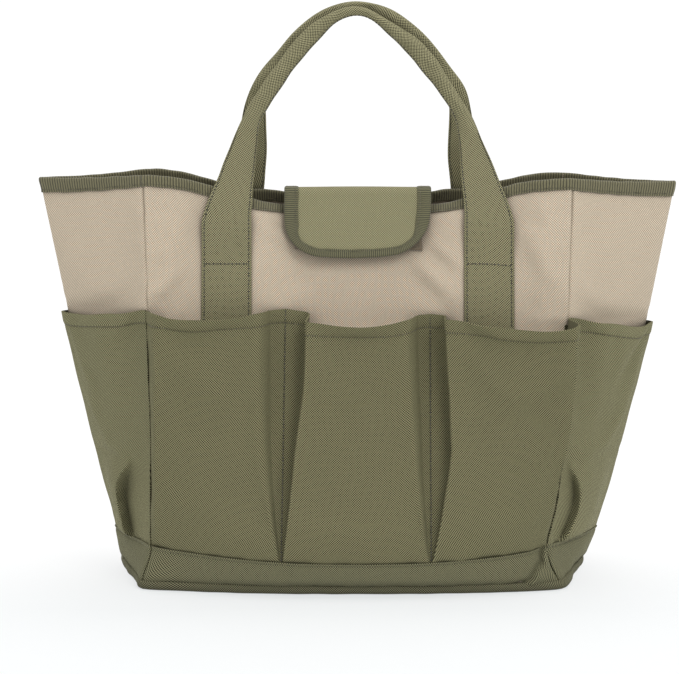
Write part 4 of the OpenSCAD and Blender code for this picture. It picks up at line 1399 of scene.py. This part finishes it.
# Pocket sewing: hems, dividers and the seams into the base bands.
BAND_ROW = 1 - 2.2 / BAND_H
hems = line(pocket, (-171, 171), (1 - HEM / FRONT_POCKET_H,) * 2, 0.9, n=700)
dividers = [frame for k in (2, 5) for frame in line(pocket, (KNOTS_U[k],) * 2, (0.02, 0.995), 0.95, n=300)]
bands = line(band, (-163, 163), (BAND_ROW, BAND_ROW), 0.45, n=600)
end_hems = line(end_pock, (-0.99, 0.99), (1 - HEM / END_POCKET_H,) * 2, 0.9, n=500)
end_bands = line(ends, (-0.985, 0.985), (BAND_ROW, BAND_ROW), 0.45, n=400)
for face, side, turn in (("front", "right", list), ("back", "left", turned_frames)):
    for name, rows, mat, radius in (
            (face + "_pocket", hems, STITCH, 0.36), (face + "_divider", dividers, STITCH_DARK, 0.45),
            (face + "_band", bands, STITCH, 0.26), (side + "_pocket", end_hems, STITCH, 0.36),
            (side + "_band", end_bands, STITCH, 0.26)):
        bag_piece(make_stitches(name + "_stitching", turn(rows), mat, radius), "green_cloth")

# ---------------------------------------------------------------- stage, light and camera

SKY, PAPER = 0.72, 1.05


def link(ob):
    bpy.context.scene.collection.objects.link(ob)
    return ob


# The sweep of paper brightens to plain white behind the bag.
paper = Nodes("studio_floor")
paper.set(paper.bsdf, Base_Color=(0.46, 0.46, 0.46, 1), Emission_Color=(0.95, 0.985, 1.0, 1), Emission_Strength=0.49,
          Roughness=0.95, Specular_IOR_Level=0.1)
depth = paper.add("SeparateXYZ", Vector=paper.place()).outputs[1]
fade = paper.add("MapRange", Value=depth, clamp=True, From_Min=-0.13, From_Max=0.1)
white = paper.add("Emission", Strength=PAPER)
blend = paper.add("MixShader", Fac=fade.outputs[0])
for source, socket in ((paper.bsdf, blend.inputs[1]), (white, blend.inputs[2]),
                       (blend, paper.tree.nodes["Material Output"].inputs[0])):
    paper.put(socket, source.outputs[0])
floor_mesh = bpy.data.meshes.new("studio_floor")
floor_mesh.from_pydata([(-6, -4, 0), (6, -4, 0), (6, 9, 0), (-6, 9, 0)], [], [(0, 1, 2, 3)])
floor_mesh.materials.append(paper.mat)
link(bpy.data.objects.new("studio_floor", floor_mesh))

world = bpy.data.worlds.new("studio")
world.use_nodes = True
background = world.node_tree.nodes["Background"]
background.inputs[0].default_value = (1, 1, 1, 1)
seen = world.node_tree.nodes.new("ShaderNodeLightPath")
strength = world.node_tree.nodes.new("ShaderNodeMath")
strength.operation = "MULTIPLY_ADD"
strength.inputs[1].default_value, strength.inputs[2].default_value = PAPER - SKY, SKY
world.node_tree.links.new(seen.outputs["Is Camera Ray"], strength.inputs[0])
world.node_tree.links.new(strength.outputs[0], background.inputs[1])
bpy.context.scene.world = world

for name, place, aim, size, power in (("key", (1.1, -1.6, 1.9), (0, 0, 0.18), 1.0, 17),
                                      ("fill", (-1.7, -1.5, 1.0), (0, 0, 0.2), 1.4, 3),
                                      ("top", (0.1, 0.3, 2.3), (0, 0, 0.2), 1.6, 18)):
    lamp = bpy.data.lights.new(name, "AREA")
    lamp.shape, lamp.size, lamp.size_y, lamp.energy = "RECTANGLE", size, size, power
    light = link(bpy.data.objects.new(name, lamp))
    light.location = place
    light.rotation_euler = (Vector(aim) - Vector(place)).to_track_quat("-Z", "Y").to_euler()

view = bpy.data.cameras.new("photo_view")
view.sensor_width, view.lens = 36, 101.2
camera = link(bpy.data.objects.new("photo_view", view))
camera.location = (-0.0151, -1.6, 0.465)
camera.rotation_euler = (math.radians(90 - 9.46), 0, 0)
bpy.context.scene.camera = camera
bpy.context.scene.view_settings.view_transform = "Standard"
